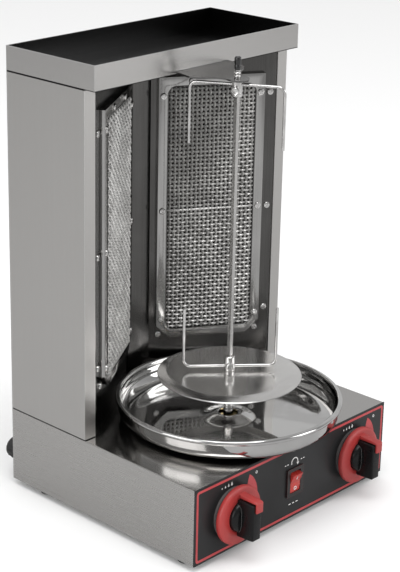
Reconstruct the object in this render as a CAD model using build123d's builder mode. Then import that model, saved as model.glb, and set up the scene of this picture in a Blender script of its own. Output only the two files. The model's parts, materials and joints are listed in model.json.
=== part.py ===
"""Table-top vertical kebab grill with two upright infrared gas burners and a motor-driven spit.

Frame: millimetres, +Z up, the user stands on the -Y side. The origin is on the table, at the middle
of the whole object's footprint. The base stands on four rubber feet.
"""

import os
from math import cos, radians, sin, tan

from build123d import *

os.makedirs("parts", exist_ok=True)

# ---------------------------------------------------------------- driving dimensions
# base box
BASE_WIDTH = 290.0
BASE_DEPTH = 260.0
BASE_HEIGHT = 80.0
BASE_SHEET = 1.2
FOOT_HEIGHT = 6.0
FOOT_RADIUS = 8.0
FOOT_INSET_X = 12.0
FOOT_INSET_FRONT = 23.0
FOOT_INSET_BACK = 40.0
FLANGE = 12.0
NUT_LENGTH = 12.0

# cabinet
CABINET_DEPTH = 110.0
CABINET_HEIGHT = 357.0
CABINET_SHEET = 1.0
FRONT_FLANGE = 14.0
TRAY_HEIGHT = 25.0
TRAY_OVERHANG = 14.0
TRAY_FLOOR_RISE = 1.5

# V-shaped liner
LINER_SHEET = 0.8
WING_ANGLE = 32.0
CENTRE_HALF_WIDTH = 16.0
LINER_TAB = 10.0

# burners
FRAME_WIDTH = 114.0
FRAME_LENGTH = 287.0
FRAME_BOTTOM = 131.0
FRAME_INSET = 7.0
FRAME_BORDER = 10.0
FRAME_STAND = 6.0
FRAME_CLIP = 14.0
TILE_WIDTH = 92.0
TILE_LENGTH = 132.0
TILE_THICKNESS = 13.0
TILE_GAP = 2.0
TILE_COUNT = 2
MESH_THICKNESS = 1.0
MESH_BULGE = 3.0
BOX_WALL = 2.0
PLENUM_DEPTH = 25.0
PLENUM_INSET = 3.5
MIX_RADIUS = 11.0
MIX_WALL = 1.5
MIX_BOTTOM = 52.0
AIR_HOLE_RADIUS = 3.5

# spit and drive
SPIT_Y = -40.0
SPIT_SIDE = 4.0
SPIT_NECK_RADIUS = 2.6
SPIT_TOP = 461.0
CAP_RADIUS = 3.3
CAP_BOTTOM = 450.0
CAP_TOP = 463.0
DISC_RADIUS = 73.5
DISC_FLAT_RADIUS = 63.5
DISC_SHEET = 1.4
DISC_TOP = 138.0
DISC_DROP = 3.5
SOCKET_RADIUS = 5.2
SOCKET_BOTTOM = 89.2
SOCKET_DEPTH = 18.0
SHAFT_RADIUS = 3.5
SHAFT_GRIP = 22.0
BUSH_RADIUS = 8.0
BUSH_FLANGE_RADIUS = 10.5
BUSH_FLANGE = 2.6
MOTOR_RADIUS = 30.0
MOTOR_HEIGHT = 36.0
MOTOR_TOP = 74.0
MOTOR_PLATE = 2.0
MOTOR_PLATE_LENGTH = 92.0
MOTOR_PLATE_WIDTH = 44.0

# forks
FORK_REACH = 47.0
FORK_WIRE_RADIUS = 1.5
FORK_BEND = 7.0
TINE_LENGTH = 62.0
COLLAR_RADIUS = 5.4
COLLAR_HEIGHT = 16.0
UPPER_COLLAR_BOTTOM = 423.5
UPPER_FORK_ANGLE = -61.0
LOWER_FORK_ANGLE = -42.0
CLAMP_SHANK_RADIUS = 1.5
CLAMP_HEAD_RADIUS = 4.2
CLAMP_HEAD = 4.5

# drip pan
PAN_RIM_RADIUS = 116.0
PAN_RIM_TOP = 112.5
PAN_BEAD_RADIUS = 2.6
PAN_BAND = 10.0
PAN_FLOOR_RADIUS = 84.0
PAN_SHEET = 1.0
PAN_HOLE_RADIUS = 10.0
PAN_DOME_TOP_RADIUS = 14.0
PAN_DOME_RADIUS = 27.0
PAN_DOME_RISE = 4.5

# top bracket
BRACKET_SHEET = 1.6
BRACKET_HALF_WIDTH = 38.0
BRACKET_STRAIGHT = 14.0
BRACKET_TIP_RADIUS = 12.0
BRACKET_SLOPE = 5.0
BRACKET_TAIL = 26.0

# controls
KNOB_X = 92.5
KNOB_RISE = 40.0
BEZEL_RADIUS = 26.0
BEZEL_THICKNESS = 2.5
BEZEL_WIDTH = 8.0
SKIRT_RADIUS = 30.0
SKIRT_REAR = 6.0
SKIRT_FRONT = 12.0
HUB_RADIUS = 16.0
HUB_FRONT = 18.0
GRIP_WIDTH = 13.0
GRIP_LENGTH = 39.0
GRIP_FRONT = 32.0
POINTER_WIDTH = 11.0
POINTER_THICKNESS = 2.5
POINTER_HOOK = 9.0
STEM_RADIUS = 4.0
VALVE_WIDTH = 22.0
VALVE_DEPTH = 28.0
VALVE_LENGTH = 38.0
SWITCH_WIDTH = 24.5
SWITCH_HEIGHT = 30.5
SWITCH_CUT_WIDTH = 22.0
SWITCH_CUT_HEIGHT = 27.5
SWITCH_DEPTH = 20.0
SWITCH_BEZEL = 2.0
ROCKER_WIDTH = 15.0
ROCKER_HEIGHT = 22.0
ROCKER_TILT = 11.0

# gas and mains
MANIFOLD_RADIUS = 6.0
MANIFOLD_Z = 60.0
INLET_X = 50.0
INLET_RADIUS = 5.0
INLET_REACH = 34.5
TAIL_RADIUS = 4.8
TUBE_RADIUS = 3.0
TUBE_BEND = 7.0
TUBE_Z = 20.0
GLAND_X = -127.0
GLAND_RISE = 24.0
GLAND_RADIUS = 12.5
GLAND_REACH = 24.0
GLAND_ROUND = 3.0
GLAND_THREAD_RADIUS = 8.0
CORD_HOLE_RADIUS = 3.8

# fasteners
SCREW_RADIUS = 1.5
SCREW_HEAD_RADIUS = 3.2
SCREW_HEAD = 1.8
SCREW_LENGTH = 6.0
FIT = 0.05
CLEAR = 0.3

# ---------------------------------------------------------------- derived places
FRONT = -BASE_DEPTH / 2
BACK = BASE_DEPTH / 2
HALF = BASE_WIDTH / 2
BASE_BOTTOM = FOOT_HEIGHT
BASE_TOP = BASE_BOTTOM + BASE_HEIGHT
CABINET_TOP = BASE_TOP + CABINET_HEIGHT
CABINET_FRONT = BACK - CABINET_DEPTH
TRAY_FRONT = CABINET_FRONT - TRAY_OVERHANG
TRAY_FLOOR = CABINET_TOP + TRAY_FLOOR_RISE
FLANGE_EDGE = HALF - FRONT_FLANGE
KNOB_Z = BASE_BOTTOM + KNOB_RISE
GLAND_Z = BASE_BOTTOM + GLAND_RISE

# The wing meets the back face of the front flange just inside the flange's edge.
WING_OUTER_X = FLANGE_EDGE - 2.0
WING_OUTER_Y = CABINET_FRONT + CABINET_SHEET
WING_CORNER_Y = WING_OUTER_Y + (WING_OUTER_X - CENTRE_HALF_WIDTH) * tan(radians(WING_ANGLE))
WING_TOP = CABINET_TOP - CABINET_SHEET - CLEAR
WING_BOTTOM = BASE_TOP + CLEAR
OUTWARD = Vector(cos(radians(WING_ANGLE)), -sin(radians(WING_ANGLE)), 0)
FACING = Vector(-sin(radians(WING_ANGLE)), -cos(radians(WING_ANGLE)), 0)

# The burner plane: its origin is the middle of the right burner on the wing's front face,
# X runs outwards along the wing, Y is up and Z points to the spit.
BURNER_MIDDLE = Vector(CENTRE_HALF_WIDTH, WING_CORNER_Y, 0) + OUTWARD * (FRAME_INSET + FRAME_WIDTH / 2)
BURNER_Z = FRAME_BOTTOM + FRAME_LENGTH / 2
BURNER_PLANE = Plane(origin=BURNER_MIDDLE + Vector(0, 0, BURNER_Z), x_dir=OUTWARD, z_dir=FACING)
TILES_LENGTH = TILE_COUNT * TILE_LENGTH + (TILE_COUNT - 1) * TILE_GAP
TILE_BACK = LINER_SHEET + TILE_THICKNESS
BOX_WIDTH = TILE_WIDTH + 2 * (CLEAR + BOX_WALL)
BOX_LENGTH = TILES_LENGTH + 2 * (CLEAR + BOX_WALL)
BOX_BACK = TILE_BACK + PLENUM_DEPTH + BOX_WALL
BOX_BOTTOM = BURNER_Z - BOX_LENGTH / 2
MIX_DEPTH = TILE_BACK + PLENUM_DEPTH / 2
MIX_PLACE = BURNER_MIDDLE - FACING * MIX_DEPTH

DISC_BOTTOM = DISC_TOP - DISC_SHEET
LOWER_COLLAR_BOTTOM = DISC_TOP
SOCKET_TOP = DISC_BOTTOM
SPIT_BOTTOM = SOCKET_TOP - SOCKET_DEPTH + CLEAR
PAN_BOTTOM = BASE_TOP + CLEAR
MANIFOLD_Y = FRONT + BASE_SHEET + VALVE_DEPTH + MANIFOLD_RADIUS + 1.0
VALVE_BACK = FRONT + BASE_SHEET + VALVE_DEPTH

FOOT_PLACES = [
    (x, y)
    for x in (-HALF + FOOT_INSET_X, HALF - FOOT_INSET_X)
    for y in (FRONT + FOOT_INSET_FRONT, BACK - FOOT_INSET_BACK)
]
SIDES = ((-1, "left"), (1, "right"))


def write(piece, name):
    """Label a finished piece and write it as one STEP file."""
    piece.label = name
    export_step(piece, f"parts/{name}.step")


def sided(right_part, name):
    """Write the right-hand piece and its mirror image for the left."""
    write(right_part, f"{name}_right")
    with BuildPart() as left:
        mirror(right_part, about=Plane.YZ)
    write(left.part, f"{name}_left")


def facing_front(y):
    """A sketch plane parallel to the front face at the given Y: X right, Y up, Z to the user."""
    return Plane(origin=(0, y, 0), x_dir=(1, 0, 0), z_dir=(0, -1, 0))


def facing_back(y):
    """A sketch plane parallel to the back face at the given Y: its X runs to -X, Z away from the user."""
    return Plane(origin=(0, y, 0), x_dir=(-1, 0, 0), z_dir=(0, 1, 0))


# ---------------------------------------------------------------- screws' places
REAR_SCREWS = [(x, z) for x in (-HALF + 7, HALF - 7) for z in (BASE_BOTTOM + 8, BASE_TOP - 8)]
REAR_SCREWS += [(x, BASE_TOP + rise) for x in (-HALF + 7, HALF - 7) for rise in (20.0, 178.0, 336.0)]
BRACKET_SCREW_X = 20.0
BRACKET_SCREW_Y = TRAY_FRONT + 16.0
FRAME_SCREWS = [
    (x * (FRAME_WIDTH - FRAME_BORDER) / 2, y)
    for x in (-1, 1)
    for y in (-FRAME_LENGTH / 2 + 22.0, 0.0, FRAME_LENGTH / 2 - 20.0)
]
FRAME_SCREWS += [(x, FRAME_LENGTH / 2 - FRAME_BORDER / 2) for x in (-22.0, 22.0)]
WING_SCREW_ALONG = FRAME_WIDTH / 2 + 7.0
WING_SCREWS = [(WING_SCREW_ALONG, y) for y in (-118.0, -2.0, 122.0)]

# ---------------------------------------------------------------- base
SHELL_FRONT = FRONT + BASE_SHEET
SHELL_LENGTH = BASE_DEPTH - 2 * BASE_SHEET

with BuildPart() as base_shell:
    with BuildSketch(facing_back(SHELL_FRONT)):
        with BuildLine():
            outline = Polyline((-HALF, BASE_BOTTOM), (-HALF, BASE_TOP), (HALF, BASE_TOP), (HALF, BASE_BOTTOM))
            offset(outline, amount=BASE_SHEET, side=Side.RIGHT, kind=Kind.INTERSECTION)
        make_face()
    extrude(amount=SHELL_LENGTH)
    fillet(base_shell.edges().filter_by(Axis.Y).group_by(Axis.Z)[-1], radius=BASE_SHEET)
    with Locations((0, SPIT_Y, BASE_TOP)):
        Hole(BUSH_RADIUS + FIT, depth=2 * BASE_SHEET)
    with Locations((MIX_PLACE.X, MIX_PLACE.Y, BASE_TOP), (-MIX_PLACE.X, MIX_PLACE.Y, BASE_TOP)):
        Hole(MIX_RADIUS + CLEAR, depth=2 * BASE_SHEET)
write(base_shell.part, "base_shell")

PLATE_HALF = HALF - BASE_SHEET - FIT
PLATE_DEPTH = SHELL_LENGTH - 2 * FIT
with BuildPart() as base_bottom_plate:
    with BuildSketch(facing_back(SHELL_FRONT + FIT)):
        with BuildLine():
            outline = Polyline(
                (-PLATE_HALF, BASE_BOTTOM + FLANGE),
                (-PLATE_HALF, BASE_BOTTOM),
                (PLATE_HALF, BASE_BOTTOM),
                (PLATE_HALF, BASE_BOTTOM + FLANGE),
            )
            offset(outline, amount=BASE_SHEET, side=Side.LEFT, kind=Kind.INTERSECTION)
        make_face()
    extrude(amount=PLATE_DEPTH)
    with Locations(*[(x, y, BASE_BOTTOM + BASE_SHEET) for x, y in FOOT_PLACES]):
        Hole(SCREW_RADIUS + FIT, depth=2 * BASE_SHEET)
    with BuildSketch(Plane.XY.offset(BASE_BOTTOM)):
        with GridLocations(0, 14, 1, 5):
            SlotOverall(70, 5)
    extrude(amount=BASE_SHEET, mode=Mode.SUBTRACT)
write(base_bottom_plate.part, "base_bottom_plate")

with BuildPart() as base_rear_panel:
    with BuildSketch(facing_back(BACK - BASE_SHEET)):
        with Locations((0, BASE_BOTTOM + BASE_HEIGHT / 2)):
            Rectangle(BASE_WIDTH, BASE_HEIGHT)
        with Locations((-GLAND_X, GLAND_Z)):
            Circle(GLAND_THREAD_RADIUS + FIT, mode=Mode.SUBTRACT)
        with Locations((-INLET_X, MANIFOLD_Z)):
            Circle(INLET_RADIUS + 2.0 + FIT, mode=Mode.SUBTRACT)
        with Locations(*[(-x, z) for x, z in REAR_SCREWS[:4]]):
            Circle(SCREW_RADIUS + FIT, mode=Mode.SUBTRACT)
        with Locations((30, BASE_BOTTOM + 28)):
            with GridLocations(0, 9, 1, 4):
                SlotOverall(80, 4, mode=Mode.SUBTRACT)
    extrude(amount=BASE_SHEET)
write(base_rear_panel.part, "base_rear_panel")

with BuildPart() as control_panel:
    with BuildSketch(facing_front(SHELL_FRONT)):
        with Locations((0, BASE_BOTTOM + BASE_HEIGHT / 2)):
            Rectangle(BASE_WIDTH, BASE_HEIGHT)
        with Locations((-KNOB_X, KNOB_Z), (KNOB_X, KNOB_Z)):
            Circle(STEM_RADIUS + CLEAR, mode=Mode.SUBTRACT)
        with Locations((0, KNOB_Z)):
            Rectangle(SWITCH_CUT_WIDTH, SWITCH_CUT_HEIGHT, mode=Mode.SUBTRACT)
    extrude(amount=BASE_SHEET)
write(control_panel.part, "control_panel")

FOOT_RECESS = 2.6
with BuildPart() as rubber_feet:
    with Locations(*FOOT_PLACES):
        Cone(FOOT_RADIUS - 1.0, FOOT_RADIUS, FOOT_HEIGHT, align=(Align.CENTER, Align.CENTER, Align.MIN))
    with Locations(*FOOT_PLACES):
        Cylinder(
            SCREW_HEAD_RADIUS + CLEAR,
            FOOT_RECESS,
            align=(Align.CENTER, Align.CENTER, Align.MIN),
            mode=Mode.SUBTRACT,
        )
        Cylinder(
            SCREW_RADIUS + FIT,
            FOOT_HEIGHT,
            align=(Align.CENTER, Align.CENTER, Align.MIN),
            mode=Mode.SUBTRACT,
        )
write(rubber_feet.part, "rubber_feet")

with BuildPart() as foot_screws:
    with Locations(*[(x, y, FOOT_RECESS) for x, y in FOOT_PLACES]):
        Cylinder(SCREW_HEAD_RADIUS, SCREW_HEAD, align=(Align.CENTER, Align.CENTER, Align.MAX))
        Cylinder(
            SCREW_RADIUS,
            FOOT_HEIGHT + BASE_SHEET,
            align=(Align.CENTER, Align.CENTER, Align.MIN),
        )
write(foot_screws.part, "foot_screws")

# ---------------------------------------------------------------- cabinet
SIDE_BACK = BACK - CABINET_SHEET
REAR_FLANGE = 14.0
TOP_FLANGE = 10.0
with BuildPart() as cabinet_side:
    with BuildSketch(Plane.XY.offset(BASE_TOP)):
        with BuildLine():
            outline = Polyline(
                (FLANGE_EDGE, CABINET_FRONT),
                (HALF, CABINET_FRONT),
                (HALF, SIDE_BACK),
                (HALF - REAR_FLANGE, SIDE_BACK),
            )
            offset(outline, amount=CABINET_SHEET, side=Side.LEFT, kind=Kind.INTERSECTION)
        make_face()
    extrude(amount=CABINET_HEIGHT)
    with BuildSketch(Plane.XY.offset(CABINET_TOP - CABINET_SHEET)):
        with Locations((HALF - CABINET_SHEET, (CABINET_FRONT + SIDE_BACK) / 2)):
            Rectangle(TOP_FLANGE, CABINET_DEPTH - 24.0, align=(Align.MAX, Align.CENTER))
    extrude(amount=CABINET_SHEET)
    with BuildSketch(facing_back(SIDE_BACK - CABINET_SHEET)):
        with Locations(*[(-x, z) for x, z in REAR_SCREWS[4:] if x > 0]):
            Circle(SCREW_RADIUS + FIT)
    extrude(amount=CABINET_SHEET, mode=Mode.SUBTRACT)
sided(cabinet_side.part, "cabinet_side")

with BuildPart() as cabinet_back_panel:
    with BuildSketch(facing_back(SIDE_BACK)):
        with Locations((0, BASE_TOP + CABINET_HEIGHT / 2)):
            Rectangle(BASE_WIDTH, CABINET_HEIGHT)
        with Locations(*[(-x, z) for x, z in REAR_SCREWS[4:]]):
            Circle(SCREW_RADIUS + FIT, mode=Mode.SUBTRACT)
        with Locations((0, CABINET_TOP - 45)):
            with GridLocations(110, 10, 2, 5):
                SlotOverall(90, 4, mode=Mode.SUBTRACT)
        with Locations((0, BASE_TOP + 40)):
            with GridLocations(110, 10, 2, 4):
                SlotOverall(90, 4, mode=Mode.SUBTRACT)
    extrude(amount=CABINET_SHEET)
write(cabinet_back_panel.part, "cabinet_back_panel")

# The screws of the back panels, and the two that hold the top bracket down on the tray's floor.
with BuildPart() as case_screws:
    with BuildSketch(facing_back(BACK)):
        with Locations(*[(-x, z) for x, z in REAR_SCREWS]):
            Circle(SCREW_HEAD_RADIUS)
    extrude(amount=SCREW_HEAD)
    fillet(case_screws.faces().group_by(Axis.Y)[-1].edges(), radius=SCREW_HEAD * 0.6)
    with BuildSketch(Plane.XY.offset(TRAY_FLOOR + BRACKET_SHEET)):
        with Locations((-BRACKET_SCREW_X, BRACKET_SCREW_Y), (BRACKET_SCREW_X, BRACKET_SCREW_Y)):
            Circle(SCREW_HEAD_RADIUS)
    extrude(amount=SCREW_HEAD)
    fillet(case_screws.faces().group_by(Axis.Z)[-1].edges(), radius=SCREW_HEAD * 0.6)
    with BuildSketch(facing_front(BACK)):
        with Locations(*REAR_SCREWS):
            Circle(SCREW_RADIUS)
    extrude(amount=SCREW_LENGTH)
    with BuildSketch(Plane.XY.offset(TRAY_FLOOR + BRACKET_SHEET)):
        with Locations((-BRACKET_SCREW_X, BRACKET_SCREW_Y), (BRACKET_SCREW_X, BRACKET_SCREW_Y)):
            Circle(SCREW_RADIUS)
    extrude(amount=-SCREW_LENGTH)
write(case_screws.part, "case_screws")

# One liner half is a folded sheet: a tab behind the centre panel, the wing, a tab behind the flange.
WING_TAB_X = HALF - CABINET_SHEET - 4.0
with BuildPart() as wing_panel:
    with BuildSketch(Plane.XY.offset(WING_BOTTOM)):
        with BuildLine():
            outline = Polyline(
                (CENTRE_HALF_WIDTH - LINER_TAB, WING_CORNER_Y),
                (CENTRE_HALF_WIDTH, WING_CORNER_Y),
                (WING_OUTER_X, WING_OUTER_Y),
                (WING_TAB_X, WING_OUTER_Y),
            )
            offset(outline, amount=LINER_SHEET, side=Side.LEFT, kind=Kind.INTERSECTION)
        make_face()
    extrude(amount=WING_TOP - WING_BOTTOM)
    with BuildSketch(BURNER_PLANE.offset(-LINER_SHEET)):
        Rectangle(TILE_WIDTH + 2 * CLEAR, TILES_LENGTH + 2 * CLEAR)
        with Locations(*FRAME_SCREWS, *WING_SCREWS):
            Circle(SCREW_RADIUS + FIT)
    extrude(amount=LINER_SHEET, mode=Mode.SUBTRACT)
sided(wing_panel.part, "wing_panel")

with BuildPart() as centre_back_panel:
    with BuildSketch(Plane.XY.offset(WING_BOTTOM)):
        with Locations((0, WING_CORNER_Y)):
            Rectangle(
                2 * (CENTRE_HALF_WIDTH - CLEAR) - LINER_SHEET,
                LINER_SHEET,
                align=(Align.CENTER, Align.MAX),
            )
    extrude(amount=WING_TOP - WING_BOTTOM)
write(centre_back_panel.part, "centre_back_panel")

TRAY_DEPTH = BACK - TRAY_FRONT
TRAY_MIDDLE_Y = (BACK + TRAY_FRONT) / 2
with BuildPart() as top_tray:
    with BuildSketch(Plane.XY.offset(CABINET_TOP)):
        with Locations((0, TRAY_MIDDLE_Y)):
            Rectangle(BASE_WIDTH, TRAY_DEPTH)
    extrude(amount=TRAY_HEIGHT)
    with BuildSketch(Plane.XY.offset(TRAY_FLOOR)):
        with Locations((0, TRAY_MIDDLE_Y)):
            Rectangle(BASE_WIDTH - 2 * CABINET_SHEET, TRAY_DEPTH - 2 * CABINET_SHEET)
    extrude(amount=TRAY_HEIGHT, mode=Mode.SUBTRACT)
    with BuildSketch(facing_front(TRAY_FRONT + CABINET_SHEET)):
        with Locations((0, TRAY_FLOOR)):
            Rectangle(
                2 * (BRACKET_HALF_WIDTH + FIT),
                BRACKET_SHEET + CLEAR,
                align=(Align.CENTER, Align.MIN),
            )
    extrude(amount=CABINET_SHEET, mode=Mode.SUBTRACT)
    with Locations(*[(x, BRACKET_SCREW_Y, TRAY_FLOOR) for x in (-BRACKET_SCREW_X, BRACKET_SCREW_X)]):
        Hole(SCREW_RADIUS + FIT, depth=2 * TRAY_FLOOR_RISE)
write(top_tray.part, "top_tray")

# The bracket lies on the tray's floor, comes out through a slot in its front wall and slopes down
# to the spit, where it has the top bearing hole.
NECK_HOLE_RADIUS = SPIT_NECK_RADIUS + 0.08
BRACKET_REACH = TRAY_FRONT - SPIT_Y
slope_plane = Plane(
    origin=(0, TRAY_FRONT, TRAY_FLOOR),
    x_dir=(1, 0, 0),
    z_dir=(0, -sin(radians(BRACKET_SLOPE)), cos(radians(BRACKET_SLOPE))),
)
with BuildPart() as spit_top_bracket:
    with BuildSketch(Plane.XY.offset(TRAY_FLOOR)):
        with Locations((0, TRAY_FRONT)):
            Rectangle(2 * BRACKET_HALF_WIDTH, BRACKET_TAIL, align=(Align.CENTER, Align.MIN))
        with Locations((-BRACKET_SCREW_X, BRACKET_SCREW_Y), (BRACKET_SCREW_X, BRACKET_SCREW_Y)):
            Circle(SCREW_RADIUS + FIT, mode=Mode.SUBTRACT)
    extrude(amount=BRACKET_SHEET)
    with BuildSketch(slope_plane):
        with BuildLine():
            right_edge = Line((BRACKET_HALF_WIDTH, BRACKET_SHEET), (BRACKET_HALF_WIDTH, -BRACKET_STRAIGHT))
            sweep_in = Spline(
                right_edge @ 1,
                (BRACKET_TIP_RADIUS, -BRACKET_REACH),
                tangents=((0, -1), (0, -1)),
            )
            tip = CenterArc((0, -BRACKET_REACH), BRACKET_TIP_RADIUS, 0, -180)
            sweep_out = Spline(
                (-BRACKET_TIP_RADIUS, -BRACKET_REACH),
                (-BRACKET_HALF_WIDTH, -BRACKET_STRAIGHT),
                tangents=((0, 1), (0, 1)),
            )
            left_edge = Line(sweep_out @ 1, (-BRACKET_HALF_WIDTH, BRACKET_SHEET))
            Line(left_edge @ 1, right_edge @ 0)
        make_face()
    extrude(amount=BRACKET_SHEET)
    with Locations((0, SPIT_Y, TRAY_FLOOR)):
        Cylinder(NECK_HOLE_RADIUS, TRAY_HEIGHT, mode=Mode.SUBTRACT)
write(spit_top_bracket.part, "spit_top_bracket")

# ---------------------------------------------------------------- burners (right one, then mirrored)
FRAME_FLANGE = 1.0
HALF_W = FRAME_WIDTH / 2
HALF_L = FRAME_LENGTH / 2
FRAME_OUTLINE = (
    (-HALF_W + FRAME_CLIP, -HALF_L),
    (HALF_W - FRAME_CLIP, -HALF_L),
    (HALF_W, -HALF_L + FRAME_CLIP),
    (HALF_W, HALF_L),
    (-HALF_W, HALF_L),
    (-HALF_W, -HALF_L + FRAME_CLIP),
)
WINDOW_WIDTH = FRAME_WIDTH - 2 * FRAME_BORDER
WINDOW_LENGTH = FRAME_LENGTH - 2 * FRAME_BORDER
WINDOW_CORNER = 9.0
MESH_MARGIN = 3.0
with BuildPart() as burner_frame:
    with BuildSketch(BURNER_PLANE):
        Polygon(*FRAME_OUTLINE, align=None)
    extrude(amount=FRAME_STAND)
    with BuildSketch(BURNER_PLANE):
        Polygon(*FRAME_OUTLINE, align=None)
        offset(amount=-FRAME_FLANGE)
    extrude(amount=FRAME_STAND - FRAME_FLANGE, mode=Mode.SUBTRACT)
    with BuildSketch(BURNER_PLANE):
        RectangleRounded(WINDOW_WIDTH, WINDOW_LENGTH, WINDOW_CORNER)
        with Locations(*FRAME_SCREWS):
            Circle(SCREW_RADIUS + FIT)
    extrude(amount=FRAME_STAND, mode=Mode.SUBTRACT)
sided(burner_frame.part, "burner_frame")

MESH_FRONT = FRAME_STAND - FRAME_FLANGE
with BuildPart() as burner_mesh:
    with BuildSketch(BURNER_PLANE.offset(MESH_FRONT - MESH_THICKNESS)):
        RectangleRounded(WINDOW_WIDTH + 2 * MESH_MARGIN, WINDOW_LENGTH + 2 * MESH_MARGIN, WINDOW_CORNER)
    extrude(amount=MESH_THICKNESS)
    with BuildSketch(BURNER_PLANE.offset(MESH_FRONT)):
        RectangleRounded(WINDOW_WIDTH - 2, WINDOW_LENGTH - 2, WINDOW_CORNER)
    extrude(amount=MESH_BULGE, taper=60)
    with BuildSketch(BURNER_PLANE.offset(MESH_FRONT - MESH_THICKNESS)):
        RectangleRounded(WINDOW_WIDTH - 4, WINDOW_LENGTH - 4, WINDOW_CORNER)
    extrude(amount=MESH_BULGE, taper=60, mode=Mode.SUBTRACT)
sided(burner_mesh.part, "burner_mesh")

with BuildPart() as ceramic_tiles:
    with BuildSketch(BURNER_PLANE.offset(-TILE_BACK)):
        with GridLocations(0, TILE_LENGTH + TILE_GAP, 1, TILE_COUNT):
            Rectangle(TILE_WIDTH, TILE_LENGTH)
    extrude(amount=TILE_THICKNESS)
sided(ceramic_tiles.part, "ceramic_tiles")

BOX_FLANGE_WIDTH = 4.0
with BuildPart() as burner_box:
    with BuildSketch(BURNER_PLANE.offset(-BOX_BACK)):
        Rectangle(BOX_WIDTH, BOX_LENGTH)
    extrude(amount=BOX_BACK - LINER_SHEET)
    with BuildSketch(BURNER_PLANE.offset(-TILE_BACK)):
        Rectangle(TILE_WIDTH + 2 * CLEAR, TILES_LENGTH + 2 * CLEAR)
    extrude(amount=TILE_THICKNESS, mode=Mode.SUBTRACT)
    with BuildSketch(BURNER_PLANE.offset(-TILE_BACK - PLENUM_DEPTH)):
        Rectangle(TILE_WIDTH - 2 * PLENUM_INSET, TILES_LENGTH - 2 * PLENUM_INSET)
    extrude(amount=PLENUM_DEPTH, mode=Mode.SUBTRACT)
    with BuildSketch(BURNER_PLANE.offset(-LINER_SHEET - BOX_WALL)):
        Rectangle(BOX_WIDTH + 2 * BOX_FLANGE_WIDTH, BOX_LENGTH + 2 * BOX_FLANGE_WIDTH)
        Rectangle(BOX_WIDTH - BOX_WALL, BOX_LENGTH - BOX_WALL, mode=Mode.SUBTRACT)
        with Locations(*FRAME_SCREWS):
            Circle(SCREW_RADIUS + FIT, mode=Mode.SUBTRACT)
    extrude(amount=BOX_WALL)
    with Locations((MIX_PLACE.X, MIX_PLACE.Y, BOX_BOTTOM)):
        Cylinder(MIX_RADIUS - MIX_WALL, 4 * BOX_WALL + 2 * PLENUM_INSET, mode=Mode.SUBTRACT)
sided(burner_box.part, "burner_box")

with BuildPart() as burner_screws:
    with BuildSketch(BURNER_PLANE.offset(FRAME_STAND)):
        with Locations(*FRAME_SCREWS):
            Circle(SCREW_HEAD_RADIUS)
    extrude(amount=SCREW_HEAD)
    with BuildSketch(BURNER_PLANE.offset(FRAME_STAND)):
        with Locations(*FRAME_SCREWS):
            Circle(SCREW_RADIUS)
    extrude(amount=-(FRAME_STAND + LINER_SHEET + BOX_WALL))
sided(burner_screws.part, "burner_screws")

with BuildPart() as wing_screws:
    with BuildSketch(BURNER_PLANE):
        with Locations(*WING_SCREWS):
            Circle(SCREW_HEAD_RADIUS)
    extrude(amount=SCREW_HEAD)
    with BuildSketch(BURNER_PLANE):
        with Locations(*WING_SCREWS):
            Circle(SCREW_RADIUS)
    extrude(amount=-SCREW_LENGTH / 2)
    mirror(about=Plane.YZ)
write(wing_screws.part, "wing_screws")

with BuildPart() as mixing_tube:
    with BuildSketch(Plane.XY.offset(MIX_BOTTOM)):
        with Locations((MIX_PLACE.X, MIX_PLACE.Y)):
            Circle(MIX_RADIUS)
            Circle(MIX_RADIUS - MIX_WALL, mode=Mode.SUBTRACT)
    extrude(amount=BOX_BOTTOM - MIX_BOTTOM)
    with Locations((MIX_PLACE.X, MIX_PLACE.Y, MIX_BOTTOM + 12.0)):
        with Locations(Rotation(90, 0, 0), Rotation(0, 90, 0)):
            Cylinder(AIR_HOLE_RADIUS, 3 * MIX_RADIUS, mode=Mode.SUBTRACT)
sided(mixing_tube.part, "mixing_tube")

# ---------------------------------------------------------------- gas train
INJECTOR_COLLAR = 5.0
INJECTOR_STUB = 14.0
INJECTOR_BOTTOM = MIX_BOTTOM - INJECTOR_COLLAR - INJECTOR_STUB
with BuildPart() as gas_injector:
    with Locations((MIX_PLACE.X, MIX_PLACE.Y, MIX_BOTTOM)):
        Cylinder(MIX_RADIUS, INJECTOR_COLLAR, align=(Align.CENTER, Align.CENTER, Align.MAX))
        Cone(4.0, 2.0, 8.0, align=(Align.CENTER, Align.CENTER, Align.MIN))
    with BuildSketch(Plane.XY.offset(INJECTOR_BOTTOM)):
        with Locations((MIX_PLACE.X, MIX_PLACE.Y)):
            RegularPolygon(6.0, 6)
    extrude(amount=INJECTOR_STUB)
    with Locations((MIX_PLACE.X, MIX_PLACE.Y, INJECTOR_BOTTOM)):
        Cylinder(0.6, 2 * (INJECTOR_STUB + INJECTOR_COLLAR + 10.0), mode=Mode.SUBTRACT)
sided(gas_injector.part, "gas_injector")

GUIDE_RADIUS = 7.0
GUIDE_LENGTH = 3.0
STEM_BORE = 10.0
STEM_TRAVEL = 3.0
with BuildPart() as gas_valve:
    with BuildSketch(facing_front(VALVE_BACK)):
        with Locations((KNOB_X, KNOB_Z)):
            RectangleRounded(VALVE_WIDTH, VALVE_LENGTH, 2.0)
    extrude(amount=VALVE_DEPTH - GUIDE_LENGTH)
    with BuildSketch(facing_front(SHELL_FRONT + GUIDE_LENGTH)):
        with Locations((KNOB_X, KNOB_Z)):
            Circle(GUIDE_RADIUS)
    extrude(amount=GUIDE_LENGTH)
    with BuildSketch(facing_front(SHELL_FRONT + STEM_BORE + STEM_TRAVEL + CLEAR)):
        with Locations((KNOB_X, KNOB_Z)):
            Circle(STEM_RADIUS + FIT)
    extrude(amount=STEM_BORE + STEM_TRAVEL + CLEAR, mode=Mode.SUBTRACT)
sided(gas_valve.part, "gas_valve")

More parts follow.
